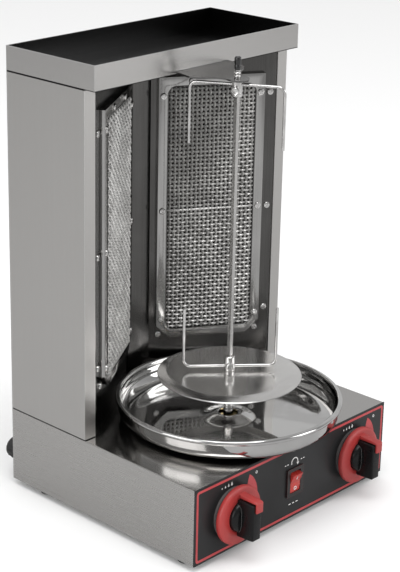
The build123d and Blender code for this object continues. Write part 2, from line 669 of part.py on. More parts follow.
with BuildPart() as gas_manifold:
    with BuildSketch(Plane.YZ.offset(-KNOB_X - 8.0)):
        with Locations((MANIFOLD_Y, MANIFOLD_Z)):
            Circle(MANIFOLD_RADIUS)
    extrude(amount=2 * (KNOB_X + 8.0))
    with BuildSketch(facing_front(MANIFOLD_Y)):
        with Locations((-KNOB_X, MANIFOLD_Z), (KNOB_X, MANIFOLD_Z)):
            Circle(4.0)
    extrude(amount=MANIFOLD_Y - VALVE_BACK)
    with BuildSketch(facing_back(MANIFOLD_Y)):
        with Locations((-INLET_X, MANIFOLD_Z)):
            Circle(INLET_RADIUS)
    extrude(amount=BACK - BASE_SHEET - NUT_LENGTH - MANIFOLD_Y)
write(gas_manifold.part, "gas_manifold")

# Bulkhead fitting: an inner nut, a neck through the rear panel, an outer hexagon and a barbed hose tail.
FITTING_HEX = 5.0
with BuildPart() as gas_inlet_fitting:
    with BuildSketch(facing_back(BACK - BASE_SHEET - NUT_LENGTH)):
        with Locations((-INLET_X, MANIFOLD_Z)):
            RegularPolygon(10.0, 6)
    extrude(amount=NUT_LENGTH)
    with BuildSketch(facing_back(BACK - BASE_SHEET)):
        with Locations((-INLET_X, MANIFOLD_Z)):
            Circle(INLET_RADIUS + 2.0)
    extrude(amount=BASE_SHEET)
    with BuildSketch(facing_back(BACK)):
        with Locations((-INLET_X, MANIFOLD_Z)):
            RegularPolygon(10.0, 6)
    extrude(amount=FITTING_HEX)
    with BuildSketch(facing_back(BACK)):
        with Locations((-INLET_X, MANIFOLD_Z)):
            Circle(TAIL_RADIUS)
    extrude(amount=INLET_REACH)
    with BuildSketch(facing_back(BACK - 10.0)):
        with Locations((-INLET_X, MANIFOLD_Z)):
            Circle(2.5)
    extrude(amount=INLET_REACH + 12.0, mode=Mode.SUBTRACT)
write(gas_inlet_fitting.part, "gas_inlet_fitting")

OUTLET_Z = KNOB_Z - 10.0
TUBE_FRONT_Y = VALVE_BACK + TUBE_BEND + 5.0
with BuildPart() as gas_tube:
    with BuildLine() as tube_path:
        FilletPolyline(
            (MIX_PLACE.X, MIX_PLACE.Y, INJECTOR_BOTTOM),
            (MIX_PLACE.X, MIX_PLACE.Y, TUBE_Z),
            (KNOB_X, TUBE_FRONT_Y, TUBE_Z),
            (KNOB_X, TUBE_FRONT_Y, OUTLET_Z),
            (KNOB_X, VALVE_BACK, OUTLET_Z),
            radius=TUBE_BEND,
        )
    with BuildSketch(Plane(origin=tube_path.line @ 0, z_dir=tube_path.line % 0)):
        Circle(TUBE_RADIUS)
    sweep()
sided(gas_tube.part, "gas_tube")

# ---------------------------------------------------------------- knobs
def before_panel(distance):
    """The Y of a plane that lies the given distance in front of the panel."""
    return FRONT - distance


with BuildPart() as knob_bezels:
    with BuildSketch(facing_front(FRONT)):
        with Locations((-KNOB_X, KNOB_Z), (KNOB_X, KNOB_Z)):
            Circle(BEZEL_RADIUS)
            Circle(BEZEL_RADIUS - BEZEL_WIDTH, mode=Mode.SUBTRACT)
    extrude(amount=BEZEL_THICKNESS)
write(knob_bezels.part, "knob_bezels")

for side, side_name in SIDES:
    knob_place = (side * KNOB_X, KNOB_Z)

    with BuildPart() as valve_stem:
        with BuildSketch(facing_front(SHELL_FRONT + STEM_BORE)):
            with Locations(knob_place):
                Circle(STEM_RADIUS)
        extrude(amount=STEM_BORE + BASE_SHEET + HUB_FRONT - 2.0)
    write(valve_stem.part, f"valve_stem_{side_name}")

    with BuildPart() as knob_skirt:
        with BuildSketch(facing_front(before_panel(SKIRT_REAR))):
            with Locations(knob_place):
                Circle(SKIRT_RADIUS)
                Circle(HUB_RADIUS + FIT, mode=Mode.SUBTRACT)
        extrude(amount=SKIRT_FRONT - SKIRT_REAR)
        top_of_grip = KNOB_Z + GRIP_LENGTH / 2 + FIT
        with BuildSketch(facing_front(before_panel(SKIRT_FRONT))):
            with Locations((side * KNOB_X, top_of_grip)):
                Rectangle(POINTER_WIDTH, POINTER_THICKNESS, align=(Align.CENTER, Align.MIN))
        extrude(amount=GRIP_FRONT - SKIRT_FRONT + FIT)
        with BuildSketch(facing_front(before_panel(GRIP_FRONT + FIT))):
            with Locations((side * KNOB_X, top_of_grip + POINTER_THICKNESS)):
                Rectangle(POINTER_WIDTH, POINTER_HOOK, align=(Align.CENTER, Align.MAX))
        extrude(amount=POINTER_THICKNESS)
    write(knob_skirt.part, f"knob_skirt_{side_name}")

    with BuildPart() as knob_grip:
        with BuildSketch(facing_front(before_panel(SKIRT_REAR))):
            with Locations(knob_place):
                Circle(HUB_RADIUS)
        extrude(amount=HUB_FRONT - SKIRT_REAR)
        with BuildSketch(facing_front(before_panel(SKIRT_FRONT))):
            with Locations(knob_place):
                RectangleRounded(GRIP_WIDTH, GRIP_LENGTH, 2.0)
        extrude(amount=GRIP_FRONT - SKIRT_FRONT)
        with BuildSketch(facing_front(before_panel(SKIRT_REAR))):
            with Locations(knob_place):
                Circle(STEM_RADIUS + FIT)
        extrude(amount=HUB_FRONT - SKIRT_REAR - 2.0, mode=Mode.SUBTRACT)
    write(knob_grip.part, f"knob_grip_{side_name}")

# ---------------------------------------------------------------- rocker switch
SWITCH_FRONT = FRONT - SWITCH_BEZEL
ROCKER_CAVITY = 9.0
ROCKER_PIVOT_Y = FRONT + 4.0
ROCKER_PIN_RADIUS = 1.2
BLADE_WIDTH = 6.0
BLADE_LENGTH = 8.0
BLADE_SHEET = 0.8
BLADE_PITCH = 7.0
with BuildPart() as switch_housing:
    with BuildSketch(facing_front(FRONT)):
        with Locations((0, KNOB_Z)):
            RectangleRounded(SWITCH_WIDTH, SWITCH_HEIGHT, 1.5)
    extrude(amount=SWITCH_BEZEL)
    with BuildSketch(facing_back(FRONT)):
        with Locations((0, KNOB_Z)):
            Rectangle(SWITCH_CUT_WIDTH - 2 * FIT, SWITCH_CUT_HEIGHT - 2 * FIT)
    extrude(amount=SWITCH_DEPTH)
    with BuildSketch(facing_back(SWITCH_FRONT)):
        with Locations((0, KNOB_Z)):
            Rectangle(ROCKER_WIDTH + 2 * CLEAR, ROCKER_HEIGHT + 4 * CLEAR)
    extrude(amount=SWITCH_BEZEL + ROCKER_CAVITY, mode=Mode.SUBTRACT)
    with BuildSketch(Plane.YZ.offset(-SWITCH_CUT_WIDTH / 2 + 1.0)):
        with Locations((ROCKER_PIVOT_Y, KNOB_Z)):
            Circle(ROCKER_PIN_RADIUS + FIT)
    extrude(amount=SWITCH_CUT_WIDTH - 2.0, mode=Mode.SUBTRACT)
    # three blades for the wires, one above the other
    for rise in (-BLADE_PITCH, 0.0, BLADE_PITCH):
        with Locations((0, FRONT + SWITCH_DEPTH, KNOB_Z + rise)):
            Box(BLADE_WIDTH, BLADE_LENGTH, BLADE_SHEET, align=(Align.CENTER, Align.MIN, Align.CENTER))
write(switch_housing.part, "switch_housing")

# The rocker is a wide V in side view: two faces that meet over the pivot, turned about the pivot
# so that its lower half is pressed in.
ROCKER_CROWN = 7.6
ROCKER_VALLEY = 6.2
ROCKER_WING = 1.0
ROCKER_KEEL = 3.0
ROCKER_END = ROCKER_HEIGHT / 2 - 3 * CLEAR
rocker_plane = Plane(
    origin=(0, ROCKER_PIVOT_Y, KNOB_Z),
    x_dir=(0, -cos(radians(ROCKER_TILT)), -sin(radians(ROCKER_TILT))),
    z_dir=(1, 0, 0),
)
with BuildPart() as switch_rocker:
    with BuildSketch(rocker_plane):
        with BuildLine():
            Polyline(
                (ROCKER_CROWN, -ROCKER_END),
                (ROCKER_VALLEY, 0),
                (ROCKER_CROWN, ROCKER_END),
                (-ROCKER_WING, ROCKER_END),
                (-ROCKER_KEEL, 0),
                (-ROCKER_WING, -ROCKER_END),
                close=True,
            )
        make_face()
    extrude(amount=ROCKER_WIDTH / 2, both=True)
    with BuildSketch(rocker_plane):
        Circle(ROCKER_PIN_RADIUS)
    extrude(amount=SWITCH_CUT_WIDTH / 2 - 1.0 - FIT, both=True)
write(switch_rocker.part, "switch_rocker")

# ---------------------------------------------------------------- spit and drive
with BuildPart() as spit_rod:
    with BuildSketch(Plane.XY.offset(SPIT_BOTTOM)):
        with Locations((0, SPIT_Y)):
            Rectangle(SPIT_SIDE, SPIT_SIDE)
    extrude(amount=UPPER_COLLAR_BOTTOM + COLLAR_HEIGHT - SPIT_BOTTOM)
    with BuildSketch(Plane.XY.offset(UPPER_COLLAR_BOTTOM + COLLAR_HEIGHT)):
        with Locations((0, SPIT_Y)):
            Circle(SPIT_NECK_RADIUS)
    extrude(amount=SPIT_TOP - UPPER_COLLAR_BOTTOM - COLLAR_HEIGHT)
write(spit_rod.part, "spit_rod")

with BuildPart() as spit_cap:
    with BuildSketch(Plane.XY.offset(CAP_BOTTOM)):
        with Locations((0, SPIT_Y)):
            Circle(CAP_RADIUS)
    extrude(amount=CAP_TOP - CAP_BOTTOM)
    fillet(spit_cap.edges().filter_by(GeomType.CIRCLE).group_by(Axis.Z)[-1], radius=1.0)
    with BuildSketch(Plane.XY.offset(CAP_BOTTOM)):
        with Locations((0, SPIT_Y)):
            Circle(SPIT_NECK_RADIUS + FIT)
    extrude(amount=SPIT_TOP - CAP_BOTTOM + FIT, mode=Mode.SUBTRACT)
write(spit_cap.part, "spit_cap")

with BuildPart() as spit_disc:
    with BuildSketch(Plane.XZ):
        with BuildLine():
            Polyline(
                (0, DISC_BOTTOM),
                (DISC_FLAT_RADIUS, DISC_BOTTOM),
                (DISC_RADIUS, DISC_BOTTOM - DISC_DROP),
                (DISC_RADIUS, DISC_TOP - DISC_DROP),
                (DISC_FLAT_RADIUS, DISC_TOP),
                (0, DISC_TOP),
                close=True,
            )
        make_face()
    revolve(axis=Axis.Z)
    with Locations((0, 0, DISC_TOP)):
        Box(SPIT_SIDE + 2 * CLEAR, SPIT_SIDE + 2 * CLEAR, 3 * DISC_SHEET, mode=Mode.SUBTRACT)
write(spit_disc.part.moved(Location((0, SPIT_Y, 0))), "spit_disc")

# The socket grips the motor's shaft below and the square end of the spit above.
GROOVE_Z = SOCKET_BOTTOM + 10.0
with BuildPart() as drive_socket:
    with BuildSketch(Plane.XY.offset(SOCKET_BOTTOM)):
        with Locations((0, SPIT_Y)):
            Circle(SOCKET_RADIUS)
    extrude(amount=SOCKET_TOP - SOCKET_BOTTOM)
    with BuildSketch(Plane.XY.offset(GROOVE_Z)):
        with Locations((0, SPIT_Y)):
            Circle(SOCKET_RADIUS)
            Circle(SOCKET_RADIUS - 0.8, mode=Mode.SUBTRACT)
    extrude(amount=2.0, mode=Mode.SUBTRACT)
    with BuildSketch(Plane.XY.offset(SOCKET_BOTTOM)):
        with Locations((0, SPIT_Y)):
            Circle(SHAFT_RADIUS + FIT)
    extrude(amount=SHAFT_GRIP, mode=Mode.SUBTRACT)
    with BuildSketch(Plane.XY.offset(SOCKET_TOP - SOCKET_DEPTH)):
        with Locations((0, SPIT_Y)):
            Rectangle(SPIT_SIDE + 2 * FIT, SPIT_SIDE + 2 * FIT)
    extrude(amount=SOCKET_DEPTH, mode=Mode.SUBTRACT)
write(drive_socket.part, "drive_socket")

SHAFT_BOTTOM = MOTOR_TOP - 14.0
with BuildPart() as drive_shaft:
    with BuildSketch(Plane.XY.offset(SHAFT_BOTTOM)):
        with Locations((0, SPIT_Y)):
            Circle(SHAFT_RADIUS)
    extrude(amount=SOCKET_BOTTOM + SHAFT_GRIP - CLEAR - SHAFT_BOTTOM)
write(drive_shaft.part, "drive_shaft")

with BuildPart() as drive_bush:
    with BuildSketch(Plane.XY.offset(BASE_TOP)):
        with Locations((0, SPIT_Y)):
            Circle(BUSH_FLANGE_RADIUS)
    extrude(amount=BUSH_FLANGE)
    with BuildSketch(Plane.XY.offset(BASE_TOP)):
        with Locations((0, SPIT_Y)):
            Circle(BUSH_RADIUS)
    extrude(amount=-(BASE_SHEET + 4.0))
    with BuildSketch(Plane.XY.offset(BASE_TOP - BASE_SHEET - 4.0)):
        with Locations((0, SPIT_Y)):
            Circle(SHAFT_RADIUS + FIT)
    extrude(amount=BASE_SHEET + 4.0 + BUSH_FLANGE, mode=Mode.SUBTRACT)
write(drive_bush.part, "drive_bush")

with BuildPart() as gear_motor:
    with BuildSketch(Plane.XY.offset(MOTOR_TOP - MOTOR_HEIGHT)):
        with Locations((0, SPIT_Y)):
            Circle(MOTOR_RADIUS)
    extrude(amount=MOTOR_HEIGHT)
    fillet(gear_motor.edges().filter_by(GeomType.CIRCLE), radius=2.0)
    with BuildSketch(Plane.XY.offset(SHAFT_BOTTOM - CLEAR)):
        with Locations((0, SPIT_Y)):
            Circle(SHAFT_RADIUS + FIT)
    extrude(amount=MOTOR_HEIGHT, mode=Mode.SUBTRACT)
write(gear_motor.part, "gear_motor")

# The bracket is a hat section: a plate on the motor's top and two legs up to the base's top sheet.
with BuildPart() as motor_bracket:
    with BuildSketch(facing_back(SPIT_Y - MOTOR_PLATE_WIDTH / 2)):
        with BuildLine():
            reach = MOTOR_PLATE_LENGTH / 2
            top = BASE_TOP - BASE_SHEET - MOTOR_PLATE
            outline = Polyline(
                (-reach - FLANGE, top),
                (-reach, top),
                (-reach, MOTOR_TOP),
                (reach, MOTOR_TOP),
                (reach, top),
                (reach + FLANGE, top),
            )
            offset(outline, amount=MOTOR_PLATE, side=Side.LEFT, kind=Kind.INTERSECTION)
        make_face()
    extrude(amount=MOTOR_PLATE_WIDTH)
    with Locations((0, SPIT_Y, MOTOR_TOP)):
        Cylinder(BUSH_RADIUS + 1.0, 8 * MOTOR_PLATE, mode=Mode.SUBTRACT)
write(motor_bracket.part, "motor_bracket")

# ---------------------------------------------------------------- forks and their clamp screws
def fork(bottom, angle, arm_z, tine_down):
    """A collar on the rod with two wire arms that end in upright tines."""
    direction = Vector(cos(radians(angle)), sin(radians(angle)), 0)
    upright = Plane(
        origin=(0, SPIT_Y, arm_z),
        x_dir=direction,
        z_dir=(direction.Y, -direction.X, 0),
    )
    tip = -TINE_LENGTH if tine_down else TINE_LENGTH
    with BuildPart() as wires:
        for way in (-1, 1):
            with BuildLine(upright) as arm_path:
                FilletPolyline((way * 3.5, 0), (way * FORK_REACH, 0), (way * FORK_REACH, tip), radius=FORK_BEND)
            with BuildSketch(Plane(origin=arm_path.line @ 0, z_dir=arm_path.line % 0)):
                Circle(FORK_WIRE_RADIUS)
            sweep(path=arm_path.line)
        with BuildSketch(Plane.XY.offset(bottom)):
            with Locations((0, SPIT_Y)):
                Circle(COLLAR_RADIUS)
        extrude(amount=COLLAR_HEIGHT)
        with BuildSketch(Plane.XY.offset(bottom)):
            with Locations((0, SPIT_Y)):
                Rectangle(SPIT_SIDE + 2 * FIT, SPIT_SIDE + 2 * FIT)
        extrude(amount=COLLAR_HEIGHT, mode=Mode.SUBTRACT)
        with BuildSketch(clamp_plane(angle, bottom)):
            Circle(CLAMP_SHANK_RADIUS + FIT)
        extrude(amount=COLLAR_RADIUS + 1.0, mode=Mode.SUBTRACT)
    return wires.part


def clamp_plane(angle, bottom):
    """The plane through the spit's axis that a fork's clamp screw stands on."""
    across = radians(angle - 90.0)
    return Plane(
        origin=(0, SPIT_Y, bottom + COLLAR_HEIGHT / 2 - 1.0),
        x_dir=(-sin(across), cos(across), 0),
        z_dir=(cos(across), sin(across), 0),
    )


def clamp_screw(angle, bottom):
    """A thumb screw with a round, hollow head, radial to the collar."""
    axis_plane = clamp_plane(angle, bottom)
    with BuildPart() as screw:
        with BuildSketch(axis_plane.offset(SPIT_SIDE * 0.75)):
            Circle(CLAMP_SHANK_RADIUS)
        extrude(amount=COLLAR_RADIUS + CLEAR - SPIT_SIDE * 0.75)
        with BuildSketch(axis_plane.offset(COLLAR_RADIUS + CLEAR)):
            Circle(CLAMP_HEAD_RADIUS)
        extrude(amount=CLAMP_HEAD)
        with BuildSketch(axis_plane.offset(COLLAR_RADIUS + CLEAR + CLAMP_HEAD)):
            Circle(CLAMP_HEAD_RADIUS * 0.5)
        extrude(amount=-CLAMP_HEAD * 0.6, mode=Mode.SUBTRACT)
    return screw.part


UPPER_ARM_Z = UPPER_COLLAR_BOTTOM + COLLAR_HEIGHT - 4.0
LOWER_ARM_Z = LOWER_COLLAR_BOTTOM + 5.0
write(fork(UPPER_COLLAR_BOTTOM, UPPER_FORK_ANGLE, UPPER_ARM_Z, True), "upper_fork")
write(fork(LOWER_COLLAR_BOTTOM, LOWER_FORK_ANGLE, LOWER_ARM_Z, False), "lower_fork")
write(clamp_screw(UPPER_FORK_ANGLE, UPPER_COLLAR_BOTTOM), "upper_fork_screw")
write(clamp_screw(LOWER_FORK_ANGLE, LOWER_COLLAR_BOTTOM), "lower_fork_screw")

# ---------------------------------------------------------------- drip pan
BAND_RADIUS = PAN_RIM_RADIUS - PAN_BEAD_RADIUS
BEAD_Z = PAN_RIM_TOP - PAN_BEAD_RADIUS
DOME_BOTTOM = PAN_BOTTOM + PAN_DOME_RISE
BAND_BOTTOM = BEAD_Z - PAN_BAND
with BuildPart() as drip_pan:
    with BuildSketch(Plane.XZ):
        with BuildLine():
            inner_floor = Polyline(
                (PAN_HOLE_RADIUS, DOME_BOTTOM + PAN_SHEET),
                (PAN_DOME_TOP_RADIUS, DOME_BOTTOM + PAN_SHEET),
                (PAN_DOME_RADIUS, PAN_BOTTOM + PAN_SHEET),
                (PAN_FLOOR_RADIUS, PAN_BOTTOM + PAN_SHEET),
            )
            inner_bowl = Spline(
                inner_floor @ 1,
                (BAND_RADIUS - PAN_SHEET, BAND_BOTTOM),
                tangents=((1, 0), (0.12, 1)),
            )
            inner_band = Line(inner_bowl @ 1, (BAND_RADIUS - PAN_SHEET, BEAD_Z))
            lip = Line(inner_band @ 1, (BAND_RADIUS, BEAD_Z))
            outer_band = Line(lip @ 1, (BAND_RADIUS, BAND_BOTTOM))
            outer_bowl = Spline(
                outer_band @ 1,
                (PAN_FLOOR_RADIUS, PAN_BOTTOM),
                tangents=((-0.12, -1), (-1, 0)),
            )
            outer_floor = Polyline(
                outer_bowl @ 1,
                (PAN_DOME_RADIUS - PAN_SHEET / 3, PAN_BOTTOM),
                (PAN_DOME_TOP_RADIUS - PAN_SHEET / 3, DOME_BOTTOM),
                (PAN_HOLE_RADIUS, DOME_BOTTOM),
            )
            Line(outer_floor @ 1, inner_floor @ 0)
        make_face()
        with Locations((BAND_RADIUS, BEAD_Z)):
            Circle(PAN_BEAD_RADIUS)
    revolve(axis=Axis.Z)
write(drip_pan.part.moved(Location((0, SPIT_Y, 0))), "drip_pan")

# ---------------------------------------------------------------- mains entry
with BuildPart() as cable_gland:
    with BuildSketch(facing_back(BACK)):
        with Locations((-GLAND_X, GLAND_Z)):
            Circle(GLAND_RADIUS)
    extrude(amount=GLAND_REACH, taper=3)
    fillet(cable_gland.edges().group_by(Axis.Y)[-1], radius=GLAND_ROUND)
    with BuildSketch(facing_front(BACK)):
        with Locations((GLAND_X, GLAND_Z)):
            Circle(GLAND_THREAD_RADIUS)
    extrude(amount=BASE_SHEET + 8.0)
    with BuildSketch(facing_front(BACK - BASE_SHEET)):
        with Locations((GLAND_X, GLAND_Z)):
            RegularPolygon(GLAND_RADIUS, 6)
    extrude(amount=4.0)
    with BuildSketch(facing_back(BACK - BASE_SHEET - 10.0)):
        with Locations((-GLAND_X, GLAND_Z)):
            Circle(CORD_HOLE_RADIUS)
    extrude(amount=GLAND_REACH + BASE_SHEET + 12.0, mode=Mode.SUBTRACT)
write(cable_gland.part, "cable_gland")

TERMINAL_WAYS = 3
with BuildPart() as terminal_block:
    with Locations((GLAND_X + 10.0, 40.0, BASE_BOTTOM + BASE_SHEET)):
        Box(22.0, 40.0, 14.0, align=(Align.CENTER, Align.CENTER, Align.MIN))
    with Locations((GLAND_X + 10.0, 40.0, BASE_BOTTOM + BASE_SHEET + 14.0)):
        with GridLocations(10.0, 12.0, 2, TERMINAL_WAYS):
            Cylinder(2.5, 6.0, mode=Mode.SUBTRACT)
write(terminal_block.part, "terminal_block")
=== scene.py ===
"""Looks for a table-top vertical kebab grill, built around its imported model.

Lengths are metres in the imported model's own frame: +Z up, the user on the -Y side, the origin on
the table under the middle of the base. A name that ends in _mm holds millimetres, and so do the
points of profiles, outlines and wires. The helper mm() turns them into metres.
"""

import json
import logging
import math
from dataclasses import dataclass
from enum import Enum
from typing import Any, Callable, Iterable, Optional, Sequence

import bmesh
import bpy
from mathutils import Matrix, Vector

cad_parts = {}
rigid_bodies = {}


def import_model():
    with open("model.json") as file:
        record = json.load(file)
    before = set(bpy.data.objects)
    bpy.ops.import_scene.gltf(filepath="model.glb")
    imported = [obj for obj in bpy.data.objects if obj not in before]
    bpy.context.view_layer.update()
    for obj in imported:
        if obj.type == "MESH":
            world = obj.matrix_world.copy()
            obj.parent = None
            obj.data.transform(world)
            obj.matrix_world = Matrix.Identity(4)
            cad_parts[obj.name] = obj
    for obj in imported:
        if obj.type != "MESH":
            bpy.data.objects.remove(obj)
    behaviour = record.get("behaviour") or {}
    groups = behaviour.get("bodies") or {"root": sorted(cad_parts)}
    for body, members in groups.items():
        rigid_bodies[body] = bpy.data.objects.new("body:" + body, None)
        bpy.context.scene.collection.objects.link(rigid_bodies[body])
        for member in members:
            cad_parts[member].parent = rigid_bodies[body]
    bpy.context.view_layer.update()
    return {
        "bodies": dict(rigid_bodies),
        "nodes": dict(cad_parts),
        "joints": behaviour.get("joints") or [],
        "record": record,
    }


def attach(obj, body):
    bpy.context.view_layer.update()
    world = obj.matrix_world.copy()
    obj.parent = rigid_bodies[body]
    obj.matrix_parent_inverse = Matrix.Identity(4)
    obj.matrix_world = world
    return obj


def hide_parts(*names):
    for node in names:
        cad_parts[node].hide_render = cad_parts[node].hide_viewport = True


LOG = logging.getLogger("kebab_grill")

Piece = bpy.types.Object
Point = tuple[float, float]
Spot = tuple[float, float, float]
Ring = tuple[float, float]
Colour = tuple[float, float, float]

SPIT_Y_MM = -40.0
PANEL_Y_MM = -130.0
KNOB_X_MM = 92.5
KNOB_Z_MM = 46.0
MERGE_DISTANCE = 2e-6
POLE_RADIUS_MM = 1e-3
BEVEL_ANGLE = math.radians(40)
FACE_ON = Matrix(((1, 0, 0, 0), (0, 0, -1, 0), (0, 1, 0, 0), (0, 0, 0, 1)))
FACE_AWAY = Matrix(((-1, 0, 0, 0), (0, 0, 1, 0), (0, 1, 0, 0), (0, 0, 0, 1)))


def mm(value: float) -> float:
    """Return a length in millimetres as metres."""
    return value / 1000.0


def at_point(x_mm: float, y_mm: float, z_mm: float = 0.0) -> Matrix:
    """Return a move to a point given in millimetres."""
    return Matrix.Translation((mm(x_mm), mm(y_mm), mm(z_mm)))


def facing_user(x_mm: float, z_mm: float) -> Matrix:
    """Return the place on the control panel's face at X and Z, with local Z towards the user."""
    return at_point(x_mm, PANEL_Y_MM, z_mm) @ FACE_ON


class Side(Enum):
    """The two sides of the grill, with the sign of X on each."""

    LEFT = -1
    RIGHT = 1

    @property
    def word(self) -> str:
        """Return the word that node names use for the side."""
        return self.name.lower()


# ------------------------------------------------------------------------------ modelling bench
class Bench:
    """Primitives, selections, modifiers and placing, as used by every sub-assembly."""

    @staticmethod
    def clear() -> None:
        """Leave edit mode and deselect everything."""
        active = bpy.context.view_layer.objects.active
        if active is not None and active.mode != "OBJECT":
            bpy.ops.object.mode_set(mode="OBJECT")
        bpy.ops.object.select_all(action="DESELECT")

    @staticmethod
    def grab(*pieces: Piece) -> None:
        """Select only these pieces and make the first one active.

        Args:
            pieces: The pieces to select.
        """
        Bench.clear()
        for piece in pieces:
            piece.select_set(True)
        bpy.context.view_layer.objects.active = pieces[0]

    @staticmethod
    def settle(piece: Piece, place: Optional[Matrix] = None) -> Piece:
        """Write a piece's place into its mesh, so that its object ends at the origin.

        Args:
            piece: The piece to settle.
            place: A further move to make first, in world terms.

        Returns:
            The same piece.
        """
        if place is not None:
            piece.matrix_world = place @ piece.matrix_world
        Bench.grab(piece)
        bpy.ops.object.transform_apply(location=True, rotation=True, scale=True)
        return piece

    @staticmethod
    def open_edit(piece: Piece, mode: str = "VERT") -> None:
        """Open a piece in edit mode with everything selected.

        Args:
            piece: The piece to open.
            mode: Whether vertices, edges or faces are picked.
        """
        Bench.grab(piece)
        bpy.ops.object.mode_set(mode="EDIT")
        bpy.ops.mesh.select_mode(type=mode)
        bpy.ops.mesh.select_all(action="SELECT")

    @staticmethod
    def close_edit(piece: Piece) -> Piece:
        """Merge doubles, turn the faces outwards and leave edit mode.

        Args:
            piece: The piece being edited.

        Returns:
            The same piece.
        """
        bpy.ops.mesh.select_all(action="SELECT")
        bpy.ops.mesh.remove_doubles(threshold=MERGE_DISTANCE)
        bpy.ops.mesh.normals_make_consistent(inside=False)
        bpy.ops.object.mode_set(mode="OBJECT")
        return piece

    @staticmethod
    def pick_faces(piece: Piece, test: Callable[[Vector, Vector], bool]) -> None:
        """Select the faces that pass a test, in an open edit.

        Args:
            piece: The piece being edited.
            test: Takes a face's centre and normal.
        """
        bpy.ops.mesh.select_mode(type="FACE")
        bpy.ops.mesh.select_all(action="DESELECT")
        shape = bmesh.from_edit_mesh(piece.data)
        for face in shape.faces:
            face.select_set(test(face.calc_center_median(), face.normal))
        bmesh.update_edit_mesh(piece.data)

    @staticmethod
    def modify(piece: Piece, kind: str, **settings: Any) -> Piece:
        """Add a modifier and apply it.

        Args:
            piece: The piece to modify.
            kind: The modifier's type.
            settings: The modifier's own settings.

        Returns:
            The same piece.
        """
        Bench.grab(piece)
        modifier = piece.modifiers.new(kind.title(), kind)
        for key, value in settings.items():
            setattr(modifier, key, value)
        bpy.ops.object.modifier_apply(modifier=modifier.name)
        return piece

    @staticmethod
    def smooth(piece: Piece, degrees: float) -> Piece:
        """Shade a piece smooth except over edges sharper than an angle.

        Args:
            piece: The piece to shade.
            degrees: The sharpest angle that is still shaded smooth.

        Returns:
            The same piece.
        """
        Bench.grab(piece)
        bpy.ops.object.shade_smooth_by_angle(angle=math.radians(degrees))
        return piece

    @staticmethod
    def join(name: str, pieces: Sequence[Piece]) -> Piece:
        """Join pieces into one.

        Args:
            name: The joined piece's name.
            pieces: The pieces to join.

        Returns:
            The joined piece.
        """
        Bench.grab(*pieces)
        if len(pieces) > 1:
            bpy.ops.object.join()
        joined = bpy.context.view_layer.objects.active
        joined.name = name
        return joined

    @staticmethod
    def copy(piece: Piece, name: str, place: Matrix) -> Piece:
        """Copy a piece, with its own mesh, to a place.

        Args:
            piece: The piece to copy.
            name: The copy's name.
            place: The move from the piece to its copy.

        Returns:
            The copy.
        """
        twin = piece.copy()
        twin.data = piece.data.copy()
        twin.name = name
        bpy.context.scene.collection.objects.link(twin)
        twin.data.transform(place)
        return twin

    @staticmethod
    def mirror(piece: Piece, name: str) -> Piece:
        """Copy a piece to the other side of the grill, with its faces still outwards.

        Args:
            piece: The piece to copy.
            name: The copy's name.

        Returns:
            The mirrored copy.
        """
        twin = Bench.copy(piece, name, Matrix.Scale(-1.0, 4, Vector((1.0, 0.0, 0.0))))
        twin.data.flip_normals()
        return twin

    @staticmethod
    def turned(name: str, rings: Sequence[Ring], segments: int) -> Piece:
        """Make a turned shape about Z by extruding and scaling a circle from ring to ring.

        Args:
            name: The piece's name.
            rings: Pairs of radius and height along the profile.
            segments: How many sides the circle has.

        Returns:
            The closed shape, standing on the world's Z axis.
        """
        Bench.clear()
        radius, height = max(rings[0][0], POLE_RADIUS_MM), rings[0][1]
        bpy.ops.mesh.primitive_circle_add(
            vertices=segments, radius=mm(radius), fill_type="NOTHING", location=(0, 0, mm(height))
        )
        piece = bpy.context.object
        piece.name = name
        Bench.settle(piece)
        Bench.open_edit(piece, "EDGE")
        for next_radius, next_height in rings[1:]:
            next_radius = max(next_radius, POLE_RADIUS_MM)
            bpy.ops.mesh.extrude_region_move(
                TRANSFORM_OT_translate={"value": (0.0, 0.0, mm(next_height - height))}
            )
            ratio = next_radius / radius
            bpy.ops.transform.resize(
                value=(ratio, ratio, 1.0), center_override=(0.0, 0.0, mm(next_height))
            )
            radius, height = next_radius, next_height
        return Bench.close_edit(piece)

    @staticmethod
    def turned_at(
        name: str, rings: Sequence[Ring], segments: int, place: Matrix, degrees: float
    ) -> Piece:
        """Make a turned shape, settle it at a place and shade it smooth.

        Args:
            name: The piece's name.
            rings: Pairs of radius and height along the profile.
            segments: How many sides the circle has.
            place: Where the shape's own axis goes.
            degrees: The sharpest angle that is still shaded smooth.

        Returns:
            The finished shape.
        """
        return Bench.smooth(Bench.settle(Bench.turned(name, rings, segments), place), degrees)

    @staticmethod
    def block(name: str, low_mm: Sequence[float], high_mm: Sequence[float]) -> Piece:
        """Make a box to shape further.

        Args:
            name: The piece's name.
            low_mm: The corner with the lowest X, Y and Z.
            high_mm: The opposite corner.

        Returns:
            The box.
        """
        Bench.clear()
        middle = [mm(a + b) / 2 for a, b in zip(low_mm, high_mm)]
        bpy.ops.mesh.primitive_cube_add(size=1.0, location=middle)
        piece = bpy.context.object
        piece.name = name
        piece.scale = [mm(b - a) for a, b in zip(low_mm, high_mm)]
        return Bench.settle(piece)

